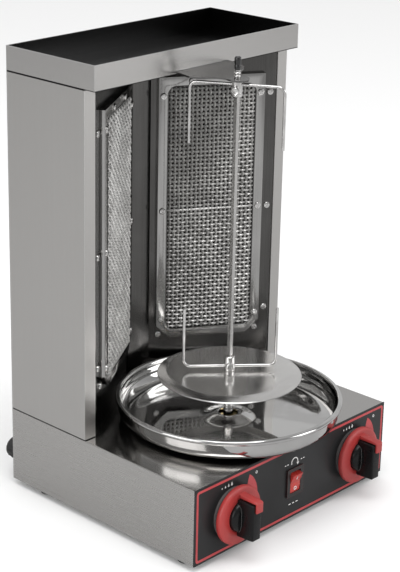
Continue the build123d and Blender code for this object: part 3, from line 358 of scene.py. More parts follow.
    @staticmethod
    def drawn(name: str, lines: Iterable[Sequence[Spot]], closed: bool, **settings: Any) -> Piece:
        """Draw lines in one curve and turn the curve into a mesh.

        Args:
            name: The piece's name.
            lines: Each line's points.
            closed: Whether each line is a loop.
            settings: The curve's own settings, which give the lines their section.

        Returns:
            The mesh.
        """
        curve = bpy.data.curves.new(name, "CURVE")
        for key, value in settings.items():
            setattr(curve, key, value)
        for line in lines:
            spline = curve.splines.new("POLY")
            spline.points.add(len(line) - 1)
            for point, (x, y, z) in zip(spline.points, line):
                point.co = (mm(x), mm(y), mm(z), 1.0)
            spline.use_cyclic_u = closed
        piece = bpy.data.objects.new(name, curve)
        bpy.context.scene.collection.objects.link(piece)
        Bench.grab(piece)
        bpy.ops.object.convert(target="MESH")
        return bpy.context.view_layer.objects.active

    @staticmethod
    def plate(
        name: str, outlines: Sequence[Sequence[Point]], thickness_mm: float, edge_mm: float = 0.0
    ) -> Piece:
        """Make a flat plate on the XY plane, its back at Z 0, from closed outlines.

        Args:
            name: The piece's name.
            outlines: Outer and inner outlines; inner ones cut holes.
            thickness_mm: The plate's thickness.
            edge_mm: The size of the rounding on its edges.

        Returns:
            The plate as a mesh.
        """
        piece = Bench.drawn(
            name,
            [[(x, y, 0.0) for x, y in outline] for outline in outlines],
            closed=True,
            dimensions="2D",
            fill_mode="BOTH",
            extrude=mm(thickness_mm / 2 - edge_mm),
            bevel_depth=mm(edge_mm),
            bevel_resolution=1,
            offset=-mm(edge_mm),
        )
        piece.data.transform(Matrix.Translation((0.0, 0.0, mm(thickness_mm / 2))))
        Bench.open_edit(piece)
        return Bench.close_edit(piece)

    @staticmethod
    def wires(
        name: str,
        lines: Iterable[Sequence[Spot]],
        radius_mm: float,
        closed: bool = False,
        sides: int = 2,
    ) -> Piece:
        """Make round wires along lines.

        Args:
            name: The piece's name.
            lines: The middle line of each wire.
            radius_mm: The wires' radius.
            closed: Whether each wire is a loop.
            sides: The curve's bevel resolution, which sets how round a wire is.

        Returns:
            The wires as one mesh.
        """
        return Bench.drawn(
            name,
            lines,
            closed,
            dimensions="3D",
            bevel_depth=mm(radius_mm),
            bevel_resolution=sides,
            use_fill_caps=not closed,
        )


class Outline:
    """Closed outlines and paths, as lists of points in millimetres."""

    @staticmethod
    def arc(centre: Point, radius: float, start: float, end: float, steps: int) -> list[Point]:
        """Lay points on an arc.

        Args:
            centre: The arc's centre.
            radius: The arc's radius.
            start: The first point's angle in degrees.
            end: The last point's angle in degrees.
            steps: How many runs the arc has.

        Returns:
            The points.
        """
        angles = [math.radians(start + (end - start) * i / steps) for i in range(steps + 1)]
        x, y = centre
        return [(x + radius * math.cos(angle), y + radius * math.sin(angle)) for angle in angles]

    @staticmethod
    def rounded(width: float, height: float, corner: float, steps: int = 6) -> list[Point]:
        """Lay a rounded rectangle about the origin, anticlockwise.

        Args:
            width: Its whole width.
            height: Its whole height.
            corner: The radius of its corners.
            steps: How many runs each corner has.

        Returns:
            The points.
        """
        x, y = width / 2 - corner, height / 2 - corner
        points: list[Point] = []
        for centre, start in (((x, y), 0), ((-x, y), 90), ((-x, -y), 180), ((x, -y), 270)):
            points += Outline.arc(centre, corner, start, start + 90, steps)
        return points

    @staticmethod
    def circle(radius: float, steps: int = 32) -> list[Point]:
        """Return a circle about the origin, anticlockwise."""
        return Outline.arc((0.0, 0.0), radius, 0, 360 - 360 / steps, steps - 1)

    @staticmethod
    def bend(points: Sequence[Vector], radius: float, steps: int = 8) -> list[Vector]:
        """Round the inner corners of an open path with arcs.

        Args:
            points: The path's corners.
            radius: The radius of the bends.
            steps: How many runs each bend has.

        Returns:
            The path with its bends.
        """
        path = [points[0]]
        for before, corner, after in zip(points, points[1:], points[2:]):
            back, on = (before - corner).normalized(), (after - corner).normalized()
            half = back.angle(on) / 2
            reach = radius / math.tan(half)
            centre = corner + (back + on).normalized() * radius / math.sin(half)
            start, end = corner + back * reach - centre, corner + on * reach - centre
            turn = start.angle(end)
            for i in range(steps + 1):
                share = i / steps
                path.append(
                    centre
                    + start * math.sin((1 - share) * turn) / math.sin(turn)
                    + end * math.sin(share * turn) / math.sin(turn)
                )
        return path + [points[-1]]


# ------------------------------------------------------------------------------ shader building
class Graph:
    """A small helper that adds nodes to a tree and links them."""

    def __init__(self, tree: bpy.types.NodeTree) -> None:
        """Keep the tree to build in."""
        self.tree = tree

    def link(self, output: Any, socket: Any) -> None:
        """Link an output to an input."""
        self.tree.links.new(output, socket)

    def node(self, kind: str, links: Optional[dict[Any, Any]] = None, **settings: Any) -> Any:
        """Add a node.

        Args:
            kind: The node's type.
            links: Inputs by name or number, each a socket to link or a value to set.
            settings: The node's own settings.

        Returns:
            The new node.
        """
        made = self.tree.nodes.new(kind)
        for key, value in settings.items():
            setattr(made, key, value)
        for key, value in (links or {}).items():
            if isinstance(value, bpy.types.NodeSocket):
                self.link(value, made.inputs[key])
            else:
                made.inputs[key].default_value = value
        return made

    def effect(self, group: bpy.types.NodeTree, **values: Any) -> Any:
        """Place a shared effect with its own values and return its outputs."""
        return self.node("ShaderNodeGroup", values, node_tree=group).outputs

    def place(self) -> Any:
        """Return the position on the piece, in the piece's own coordinates."""
        return self.node("ShaderNodeTexCoord").outputs["Object"]

    def split(self, vector: Any) -> Any:
        """Return the three parts of a vector, by number or by letter."""
        return self.node("ShaderNodeSeparateXYZ", {0: vector}).outputs

    def math(self, operation: str, *values: Any) -> Any:
        """Add a maths node and return its output."""
        return self.node("ShaderNodeMath", dict(enumerate(values)), operation=operation).outputs[0]

    def dot(self, first: Any, second: Any) -> Any:
        """Return how far two vectors point the same way."""
        links = {0: first, 1: second}
        return self.node("ShaderNodeVectorMath", links, operation="DOT_PRODUCT").outputs["Value"]

    def noise(self, place: Any, scale: Any, **details: float) -> Any:
        """Return noise at a place; the details are the noise node's other inputs."""
        links = {"Vector": place, "Scale": scale, **details}
        return self.node("ShaderNodeTexNoise", links).outputs[0]

    def remap(self, value: Any, low: float, high: float, to_low: Any, to_high: Any) -> Any:
        """Map a value from one range to another, clamped, and return the output."""
        links = {0: value, 1: low, 2: high, 3: to_low, 4: to_high}
        return self.node("ShaderNodeMapRange", links, interpolation_type="SMOOTHSTEP").outputs[0]

    def blend(self, share: Any, first: Any, second: Any, way: str = "MIX") -> Any:
        """Mix two colours and return the output."""
        links = {0: share, 6: first, 7: second}
        return self.node("ShaderNodeMix", links, data_type="RGBA", blend_type=way).outputs[2]

    def band(self, value: Any, middle: float, solid: float, end: float) -> Any:
        """Return 1 within a distance of a middle value, falling to 0 at a further one."""
        away = self.math("ABSOLUTE", self.math("SUBTRACT", value, middle))
        return self.remap(away, solid, end, 1.0, 0.0)

    def relief(self, shader: Any, height: Any, depth_mm: float, strength: float) -> None:
        """Let a height pattern bend a shader's normal."""
        links = {"Height": height, "Distance": mm(depth_mm), "Strength": strength}
        self.link(self.node("ShaderNodeBump", links).outputs[0], shader.inputs["Normal"])


def new_group(
    name: str, inputs: Sequence[tuple[str, str, Any]], outputs: Sequence[str]
) -> tuple[Graph, Any, Any]:
    """Start a shader node group whose outputs are numbers.

    Args:
        name: The group's name.
        inputs: Name, socket type and default of each input.
        outputs: The name of each output.

    Returns:
        The group's graph, the sockets of what it is given and the sockets of what it puts out.
    """
    tree = bpy.data.node_groups.new(name, "ShaderNodeTree")
    for label, kind, default in inputs:
        socket = tree.interface.new_socket(name=label, in_out="INPUT", socket_type=kind)
        socket.default_value = default
    for label in outputs:
        tree.interface.new_socket(name=label, in_out="OUTPUT", socket_type="NodeSocketFloat")
    graph = Graph(tree)
    return graph, graph.node("NodeGroupInput").outputs, graph.node("NodeGroupOutput").inputs


def new_material(name: str) -> tuple[bpy.types.Material, Graph, Any]:
    """Start a material.

    Args:
        name: The material's name.

    Returns:
        The material, its graph and its shader.
    """
    material = bpy.data.materials.new(name)
    material.use_nodes = True
    return material, Graph(material.node_tree), material.node_tree.nodes["Principled BSDF"]


class Effects:
    """The effects that several finishes share, each a node group built once."""

    FLOAT = "NodeSocketFloat"
    VECTOR = "NodeSocketVector"
    BROAD_SCALE = 0.12
    FINE_SHARE = 0.7
    BROAD_SHARE = 0.3

    def __init__(self) -> None:
        """Build every group."""
        self.grain = self._grain()
        self.smudge = self._smudge()
        self.wear = self._wear()

    def _grain(self) -> bpy.types.NodeTree:
        """Build brushed lines along one direction.

        Returns:
            A group that puts out a mask and a height.
        """
        graph, given, out = new_group(
            "brushed_grain",
            [("Stretch", self.VECTOR, (1.0, 1.0, 1.0)), ("Scale", self.FLOAT, 900.0)],
            ["Mask", "Height"],
        )
        links = {"Vector": graph.place(), "Scale": given["Stretch"]}
        stretched = graph.node("ShaderNodeMapping", links).outputs[0]
        fine = graph.noise(stretched, given["Scale"], Detail=3.0, Roughness=0.65)
        broad = graph.noise(
            stretched, graph.math("MULTIPLY", given["Scale"], self.BROAD_SCALE), Detail=2.0
        )
        both = graph.math(
            "ADD",
            graph.math("MULTIPLY", fine, self.FINE_SHARE),
            graph.math("MULTIPLY", broad, self.BROAD_SHARE),
        )
        graph.link(graph.remap(both, 0.3, 0.7, 0.0, 1.0), out["Mask"])
        graph.link(fine, out["Height"])
        return graph.tree

    def _smudge(self) -> bpy.types.NodeTree:
        """Build handling marks and dust.

        Returns:
            A group that puts out a soft cloudy mask and a fine speckle.
        """
        graph, given, out = new_group(
            "smudge_and_dust",
            [("Scale", self.FLOAT, 14.0), ("Speckle", self.FLOAT, 900.0)],
            ["Cloud", "Dust"],
        )
        place = graph.place()
        cloud = graph.noise(place, given["Scale"], Detail=4.0, Distortion=0.6)
        graph.link(graph.remap(cloud, 0.35, 0.65, 0.0, 1.0), out["Cloud"])
        graph.link(graph.noise(place, given["Speckle"], Detail=1.0), out["Dust"])
        return graph.tree

    def _wear(self) -> bpy.types.NodeTree:
        """Build a painted highlight along sharp edges.

        Returns:
            A group that puts out a mask, strong along sharp edges, where the highlight is painted.
        """
        graph, given, out = new_group(
            "edge_wear",
            [("Radius", self.FLOAT, 0.0008), ("Amount", self.FLOAT, 1.0)],
            ["Edge"],
        )
        # Painted highlight: the mask is strong where the rounded normal leaves the flat one, along
        # sharp edges.
        rounded = graph.node("ShaderNodeBevel", {"Radius": given["Radius"]}, samples=4).outputs[0]
        flat = graph.node("ShaderNodeNewGeometry").outputs["Normal"]
        edge = graph.remap(graph.dot(rounded, flat), 0.99, 0.80, 0.0, given["Amount"])
        graph.link(edge, out["Edge"])
        return graph.tree


GRAIN_SHARE = 0.6
CLOUD_SHARE = 0.4
# Painted shadow: a near-black line for the shade in the gap where two sheets meet.
GAP_SHADOW_COLOUR = (0.015, 0.015, 0.015, 1.0)
GAP_SHADOW_SOLID_MM = 0.35
GAP_SHADOW_END_MM = 0.75
# Painted shade: the near-black colour that faces looking up are darkened towards.
PAINTED_TOP_SHADE_COLOUR = (0.03, 0.03, 0.03, 1.0)
TOP_POLISH = 0.12
# Painted shade colour for the inside of the top tray.
PAINTED_WELL_SHADE_COLOUR = (0.065, 0.065, 0.065, 1.0)
WELL_FADE_MM = 0.1
COAT_ROUGHNESS = 0.12
RELIEF_STRENGTH = 0.6


@dataclass(frozen=True)
class Finish:
    """One surface finish, from which a material is built.

    The two colours are mixed by the pattern, and so are the two roughnesses. Painted shadow lines
    lie at the listed seam heights, for the shade in the gaps between sheets; faces that look up get
    painted shade; what lies between the listed ranges along X, Y and Z gets painted shade for the
    inside of a tray; and sharp edges can get a painted highlight.
    """

    name: str
    light: Colour
    dark: Colour
    smooth: float
    rough: float
    metal: float = 0.0
    coat: float = 0.0
    specular: float = 0.5
    stretch: tuple[float, float, float] = (1.0, 1.0, 1.0)
    grain_scale: float = 0.0
    cloud_scale: float = 14.0
    speckle: float = 900.0
    bump_mm: float = 0.0
    # edge sets how strong a painted highlight along sharp edges is; the next field is its colour.
    edge: float = 0.0
    edge_colour: Colour = (0.9, 0.9, 0.9)
    # Heights of painted shadow lines, for the shade in the gaps between sheets.
    seams_mm: tuple[float, ...] = ()
    # How much painted shade the faces that look up get.
    top_shade: float = 0.0
    # A box along X, Y and Z inside which painted shade darkens the tray.
    well_mm: tuple[tuple[float, float], ...] = ()

    def build(self, effects: Effects) -> bpy.types.Material:
        """Build the material.

        Args:
            effects: The shared node groups.

        Returns:
            The new material.
        """
        material, graph, shader = new_material(self.name)
        smudge = graph.effect(effects.smudge, Scale=self.cloud_scale, Speckle=self.speckle)
        mask, height = smudge["Cloud"], smudge["Dust"]
        if self.grain_scale:
            grain = graph.effect(effects.grain, Stretch=self.stretch, Scale=self.grain_scale)
            mask = graph.math(
                "ADD",
                graph.math("MULTIPLY", grain["Mask"], GRAIN_SHARE),
                graph.math("MULTIPLY", mask, CLOUD_SHARE),
            )
            height = grain["Height"]
        colour = graph.blend(mask, (*self.dark, 1.0), (*self.light, 1.0))
        roughness = graph.remap(mask, 0.0, 1.0, self.rough, self.smooth)
        # Painted highlight: sharp edges are brightened towards the highlight colour.
        if self.edge:
            glint_mask = graph.effect(effects.wear, Amount=self.edge)["Edge"]
            colour = graph.blend(glint_mask, colour, (*self.edge_colour, 1.0))
        # Painted shadow: a dark line at each listed height, for the shade in the gap between
        # sheets.
        if self.seams_mm:
            up = graph.split(graph.place())["Z"]
            for seam in self.seams_mm:
                gap = graph.band(up, mm(seam), mm(GAP_SHADOW_SOLID_MM), mm(GAP_SHADOW_END_MM))
                colour = graph.blend(gap, colour, GAP_SHADOW_COLOUR)
        # Painted shade: faces that look up are darkened, and made smoother.
        if self.top_shade:
            normal = graph.node("ShaderNodeNewGeometry").outputs["Normal"]
            upward = graph.remap(graph.split(normal)["Z"], 0.80, 0.95, 0.0, 1.0)
            shade = graph.math("MULTIPLY", upward, self.top_shade)
            colour = graph.blend(shade, colour, PAINTED_TOP_SHADE_COLOUR)
            polish = graph.math("MULTIPLY", upward, TOP_POLISH)
            roughness = graph.math("SUBTRACT", roughness, polish)
        # Painted shade: everything inside the box is darkened, for the shade inside the tray.
        if self.well_mm:
            inside: Any = 1.0
            for axis, (low, high) in zip(graph.split(graph.place()), self.well_mm):
                half = mm((high - low) / 2)
                within = graph.band(axis, mm((low + high) / 2), half - mm(WELL_FADE_MM), half)
                inside = graph.math("MULTIPLY", inside, within)
            colour = graph.blend(inside, colour, PAINTED_WELL_SHADE_COLOUR)
        graph.link(colour, shader.inputs["Base Color"])
        graph.link(roughness, shader.inputs["Roughness"])
        shader.inputs["Metallic"].default_value = self.metal
        shader.inputs["Specular IOR Level"].default_value = self.specular
        shader.inputs["Coat Weight"].default_value = self.coat
        shader.inputs["Coat Roughness"].default_value = COAT_ROUGHNESS
        if self.bump_mm:
            graph.relief(shader, height, self.bump_mm, RELIEF_STRENGTH)
        return material


ALONG_X = (0.02, 1.0, 1.0)
ALONG_Y = (1.0, 0.02, 1.0)
ALONG_Z = (1.0, 1.0, 0.02)

FINISHES: dict[str, Finish] = {
    finish.name: finish
    for finish in (
        Finish("side_sheet", (0.585, 0.573, 0.558), (0.565, 0.553, 0.538), 0.34, 0.38, 1.0,
               stretch=ALONG_Z, grain_scale=2200.0, cloud_scale=4.0, bump_mm=0.0004, edge=0.8,
               seams_mm=(86.4, 442.6)),
        Finish("base_sheet", (0.57, 0.558, 0.543), (0.555, 0.543, 0.529), 0.265, 0.28, 1.0,
               stretch=ALONG_Y, grain_scale=2200.0, cloud_scale=4.0, bump_mm=0.0004, edge=0.8,
               top_shade=0.12),
        Finish("tray_sheet", (0.60, 0.588, 0.575), (0.56, 0.55, 0.537), 0.20, 0.25, 1.0,
               stretch=ALONG_X, grain_scale=2200.0, cloud_scale=4.0, bump_mm=0.0004, edge=0.8,
               seams_mm=(443.2,), well_mm=((-144.4, 144.4), (6.6, 129.4), (444.3, 467.6))),
        Finish("back_sheet", (0.60, 0.59, 0.575), (0.54, 0.53, 0.518), 0.32, 0.44, 1.0,
               stretch=ALONG_Z, grain_scale=1200.0, cloud_scale=5.0, bump_mm=0.006),
        Finish("liner_sheet", (0.15, 0.147, 0.143), (0.10, 0.097, 0.094), 0.14, 0.24, 1.0,
               stretch=ALONG_Z, grain_scale=900.0, cloud_scale=9.0, bump_mm=0.004),
        Finish("bright_sheet", (0.54, 0.533, 0.523), (0.43, 0.425, 0.417), 0.09, 0.16, 1.0,
               stretch=ALONG_Z, grain_scale=700.0, cloud_scale=12.0, bump_mm=0.004),
        Finish("bracket_sheet", (0.20, 0.197, 0.193), (0.145, 0.142, 0.14), 0.12, 0.20, 1.0,
               stretch=ALONG_Y, grain_scale=900.0, cloud_scale=14.0, bump_mm=0.002),
        Finish("pan_polish", (0.68, 0.676, 0.668), (0.57, 0.566, 0.56), 0.045, 0.10, 1.0,
               cloud_scale=18.0),
        Finish("disc_satin", (0.80, 0.79, 0.775), (0.70, 0.69, 0.68), 0.16, 0.24, 1.0,
               stretch=ALONG_X, grain_scale=1300.0, cloud_scale=16.0, bump_mm=0.004),
        Finish("rod_steel", (0.74, 0.73, 0.715), (0.56, 0.55, 0.54), 0.17, 0.30, 1.0,
               stretch=ALONG_Z, grain_scale=1100.0, cloud_scale=30.0, bump_mm=0.006),
        Finish("fork_chrome", (0.84, 0.83, 0.82), (0.66, 0.65, 0.64), 0.08, 0.18, 1.0,
               cloud_scale=60.0),
        Finish("screw_zinc", (0.70, 0.70, 0.69), (0.50, 0.50, 0.49), 0.20, 0.34, 1.0,
               cloud_scale=120.0),
        Finish("burner_sheet", (0.42, 0.42, 0.41), (0.30, 0.30, 0.29), 0.42, 0.58, 1.0,
               cloud_scale=20.0),
        Finish("brass_turned", (0.80, 0.62, 0.30), (0.62, 0.46, 0.20), 0.20, 0.36, 1.0,
               cloud_scale=40.0),
        Finish("copper_tube", (0.82, 0.46, 0.30), (0.60, 0.30, 0.18), 0.22, 0.40, 1.0,
               cloud_scale=30.0),
        Finish("panel_film", (0.022, 0.0222, 0.023), (0.016, 0.016, 0.0165), 0.32, 0.42, 0.0,
               specular=0.30, cloud_scale=10.0, bump_mm=0.02, speckle=2600.0),
        Finish("red_print", (0.44, 0.055, 0.060), (0.36, 0.040, 0.046), 0.36, 0.46, 0.0,
               cloud_scale=30.0, bump_mm=0.01, speckle=2600.0),
        Finish("white_print", (0.78, 0.77, 0.76), (0.62, 0.61, 0.60), 0.40, 0.52, 0.0,
               cloud_scale=60.0),
        Finish("red_moulding", (0.36, 0.034, 0.032), (0.29, 0.026, 0.025), 0.34, 0.48, 0.0,
               coat=0.10, cloud_scale=22.0, bump_mm=0.03, speckle=1800.0, edge=0.3,
               edge_colour=(0.60, 0.11, 0.09)),
        Finish("black_moulding", (0.006, 0.006, 0.0064), (0.003, 0.003, 0.0034), 0.20, 0.32, 0.0,
               specular=0.3, cloud_scale=26.0, bump_mm=0.03, speckle=1900.0, edge=0.5,
               edge_colour=(0.20, 0.20, 0.20)),
        Finish("grey_moulding", (0.110, 0.100, 0.100), (0.070, 0.062, 0.062), 0.40, 0.52, 0.0,
               cloud_scale=24.0, bump_mm=0.03, speckle=1900.0),
        Finish("switch_case", (0.016, 0.014, 0.014), (0.008, 0.008, 0.008), 0.22, 0.34, 0.0,
               coat=0.3, cloud_scale=40.0, bump_mm=0.01, edge=0.4, edge_colour=(0.25, 0.03, 0.03)),
        Finish("rocker_red", (0.42, 0.034, 0.026), (0.34, 0.024, 0.020), 0.18, 0.28, 0.0, coat=0.35,
               cloud_scale=30.0, bump_mm=0.008),
        Finish("foot_rubber", (0.030, 0.029, 0.028), (0.016, 0.016, 0.015), 0.62, 0.80, 0.0,
               cloud_scale=40.0, bump_mm=0.08, speckle=1500.0),
        Finish("gland_nylon", (0.024, 0.023, 0.023), (0.012, 0.012, 0.012), 0.40, 0.55, 0.0,
               cloud_scale=40.0, bump_mm=0.03, speckle=1500.0),
        Finish("cap_black", (0.010, 0.010, 0.010), (0.005, 0.005, 0.005), 0.10, 0.18, 0.0, coat=0.6,
               cloud_scale=40.0),
        Finish("motor_can", (0.52, 0.53, 0.55), (0.40, 0.41, 0.43), 0.36, 0.50, 1.0,
               cloud_scale=24.0),
        Finish("terminal_nylon", (0.70, 0.69, 0.66), (0.60, 0.59, 0.56), 0.46, 0.58, 0.0,
               cloud_scale=30.0, bump_mm=0.03),
    )
}


class Workshop:
    """Builds each finish once and puts finishes on pieces."""

    def __init__(self) -> None:
        """Build the shared effects."""
        self.effects = Effects()
        self.made: dict[str, bpy.types.Material] = {}

    def material(self, name: str) -> bpy.types.Material:
        """Find a finish's material, building it on first use.

        Args:
            name: The finish's name.

        Returns:
            The material.
        """
        if name not in self.made:
            special = {"mesh_wire": self._mesh_wire, "tile_ceramic": self._tile_ceramic}
            build = special.get(name) or (lambda: FINISHES[name].build(self.effects))
            self.made[name] = build()
        return self.made[name]

    def dress(self, piece: Piece, name: str) -> None:
        """Give a piece, or a carried-over node, one finish all over.

        Args:
            piece: The piece to dress.
            name: The finish's name.
        """
        if not piece.material_slots:
            piece.data.materials.append(None)
        for slot in piece.material_slots:
            slot.material = self.material(name)

    def _mesh_wire(self) -> bpy.types.Material:
        """Build heat-tinted woven wire, with painted shade deep in the weave.

        Returns:
            The new material.
        """
        material, graph, shader = new_material("mesh_wire")
        smudge = graph.effect(self.effects.smudge, Scale=40.0, Speckle=1500.0)
        tint = graph.blend(smudge["Cloud"], (0.62, 0.61, 0.595, 1.0), (0.86, 0.85, 0.83, 1.0))
        scale_specks = graph.remap(smudge["Dust"], 0.40, 0.62, 0.55, 1.0)
        dull = graph.blend(1.0, tint, scale_specks, "MULTIPLY")
        # Painted shade: ambient occlusion darkens the wire deep in the weave, for the shade in its
        # crevices.
        crevice_occlusion = graph.node("ShaderNodeAmbientOcclusion", {"Distance": mm(2.6)}, samples=6)
        shade = graph.remap(crevice_occlusion.outputs["AO"], 0.25, 0.80, 0.12, 1.0)
        graph.link(graph.blend(1.0, dull, shade, "MULTIPLY"), shader.inputs["Base Color"])
        graph.link(graph.remap(smudge["Dust"], 0.3, 0.7, 0.5, 0.28), shader.inputs["Roughness"])
        shader.inputs["Metallic"].default_value = 0.7
        graph.relief(shader, smudge["Dust"], 0.12, 0.7)
        return material

    def _tile_ceramic(self) -> bpy.types.Material:
        """Build a ceramic plaque with close rows of fine holes and light scorching, with painted
        shade:
        its body dark for the shade behind the woven mesh, its holes near black.

        Returns:
            The new material.
        """
        material, graph, shader = new_material("tile_ceramic")
        links = {"Vector": graph.place(), "Scale": 420.0, "Randomness": 0.15}
        holes = graph.node("ShaderNodeTexVoronoi", links).outputs["Distance"]
        # Painted shade: the holes are painted near black for the shade inside them.
        pit = graph.remap(holes, 0.22, 0.34, 0.0, 1.0)
        cloud = graph.effect(self.effects.smudge)["Cloud"]
        # Painted shade: the whole body is painted dark for the shade behind the woven mesh; the
        # cloud varies it.
        body = graph.blend(cloud, (0.060, 0.053, 0.048, 1.0), (0.11, 0.10, 0.09, 1.0))
        graph.link(graph.blend(pit, (0.02, 0.018, 0.016, 1.0), body), shader.inputs["Base Color"])
        graph.link(graph.remap(cloud, 0.0, 1.0, 0.95, 0.8), shader.inputs["Roughness"])
        graph.relief(shader, pit, 0.5, 0.8)
        return material


NODES_BY_FINISH: dict[str, tuple[str, ...]] = {
    "base_sheet": ("base_shell",),
    "side_sheet": ("cabinet_side_left", "cabinet_side_right"),
    "tray_sheet": ("top_tray",),
    "back_sheet": ("base_bottom_plate", "base_rear_panel", "cabinet_back_panel"),
    "liner_sheet": ("wing_panel_left", "wing_panel_right", "centre_back_panel"),
    "bracket_sheet": ("spit_top_bracket",),
    "burner_sheet": (
        "burner_box_left", "burner_box_right", "mixing_tube_left", "mixing_tube_right",
        "gas_manifold", "motor_bracket",
    ),
    "tile_ceramic": ("ceramic_tiles_left", "ceramic_tiles_right"),
    "brass_turned": (
        "gas_injector_left", "gas_injector_right", "gas_valve_left", "gas_valve_right",
        "valve_stem_left", "valve_stem_right", "drive_bush",
    ),
    "copper_tube": ("gas_tube_left", "gas_tube_right"),
    "rod_steel": ("spit_rod", "drive_shaft"),
    "screw_zinc": ("foot_screws",),
    "motor_can": ("gear_motor",),
    "panel_film": ("control_panel",),
    "switch_case": ("switch_housing",),
    "terminal_nylon": ("terminal_block",),
}


class Grill:
    """The frame and the workshop, shared by every sub-assembly."""

    def __init__(self, frame: dict[str, Any], shop: Workshop) -> None:
        """Keep the loaded frame and the workshop."""
        self.frame = frame
        self.shop = shop

    def fit(
        self, piece: Piece, body: str, finish: str, slot: str, stands_for: Iterable[str] = ()
    ) -> Piece:
        """Finish a piece: its material, the body it rides on and the nodes it stands for.

        Args:
            piece: The finished mesh piece.
            body: The moving body that carries it.
            finish: The name of its finish.
            slot: The record's material slot; not used.
            stands_for: The nodes that it replaces.

        Returns:
            The same piece.
        """
        piece.data.materials.clear()
        self.shop.dress(piece, finish)
        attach(piece, body)
        nodes = list(stands_for)
        if nodes:
            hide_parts(*nodes)
        LOG.info("%s rides on %s with finish %s", piece.name, body, finish)
        return piece

    def dress_nodes(self) -> None:
        """Give every carried-over node its finish."""
        for finish, names in NODES_BY_FINISH.items():
            for name in names:
                self.shop.dress(self.frame["nodes"][name], finish)
                LOG.info("%s keeps its shape, with finish %s", name, finish)


# ------------------------------------------------------------------------------ sub-assemblies
@dataclass
class Screws:
    """Cross-head screws, modelled once and copied to every place."""

    radius_mm: float = 3.7
    height_mm: float = 2.0
    slot_mm: float = 0.85
    reach_mm: float = 1.9
    segments: int = 20
    first_turn: float = 0.35
    next_turn: float = 0.7

    def head(self, name: str) -> Piece:
        """Make one pan head with a cross recess, standing on Z 0.

        Args:
            name: The head's name.

        Returns:
            The head.
        """
        r, h = self.radius_mm, self.height_mm
        rings = [(0, 0), (r * 0.97, 0), (r, h * 0.2), (r * 0.96, h * 0.5), (r * 0.80, h * 0.84)]
        dome = Bench.turned(name, [*rings, (r * 0.5, h), (0, h)], self.segments)
        cross = [
            Bench.block("recess", (-a, -b, h * 0.42), (a, b, h * 1.3))
            for a, b in ((self.reach_mm, self.slot_mm / 2), (self.slot_mm / 2, self.reach_mm))
        ]
        for cutter in cross:
            Bench.modify(dome, "BOOLEAN", object=cutter, operation="DIFFERENCE", solver="EXACT")
            bpy.data.objects.remove(cutter)
        return Bench.smooth(dome, 30)

    def set(self, name: str, places: Sequence[Matrix]) -> Piece:
        """Put a head at each place, each turned its own way.

        Args:
            name: The name of the whole set.
            places: The place of each head.

        Returns:
            The heads as one piece.
        """
        pattern = self.head("screw_pattern")
        heads = []
        for index, place in enumerate(places):
            turn = Matrix.Rotation(self.next_turn * index + self.first_turn, 4, "Z")
            heads.append(Bench.copy(pattern, f"{name}_{index}", place @ turn))
        bpy.data.objects.remove(pattern)
        return Bench.join(name, heads)


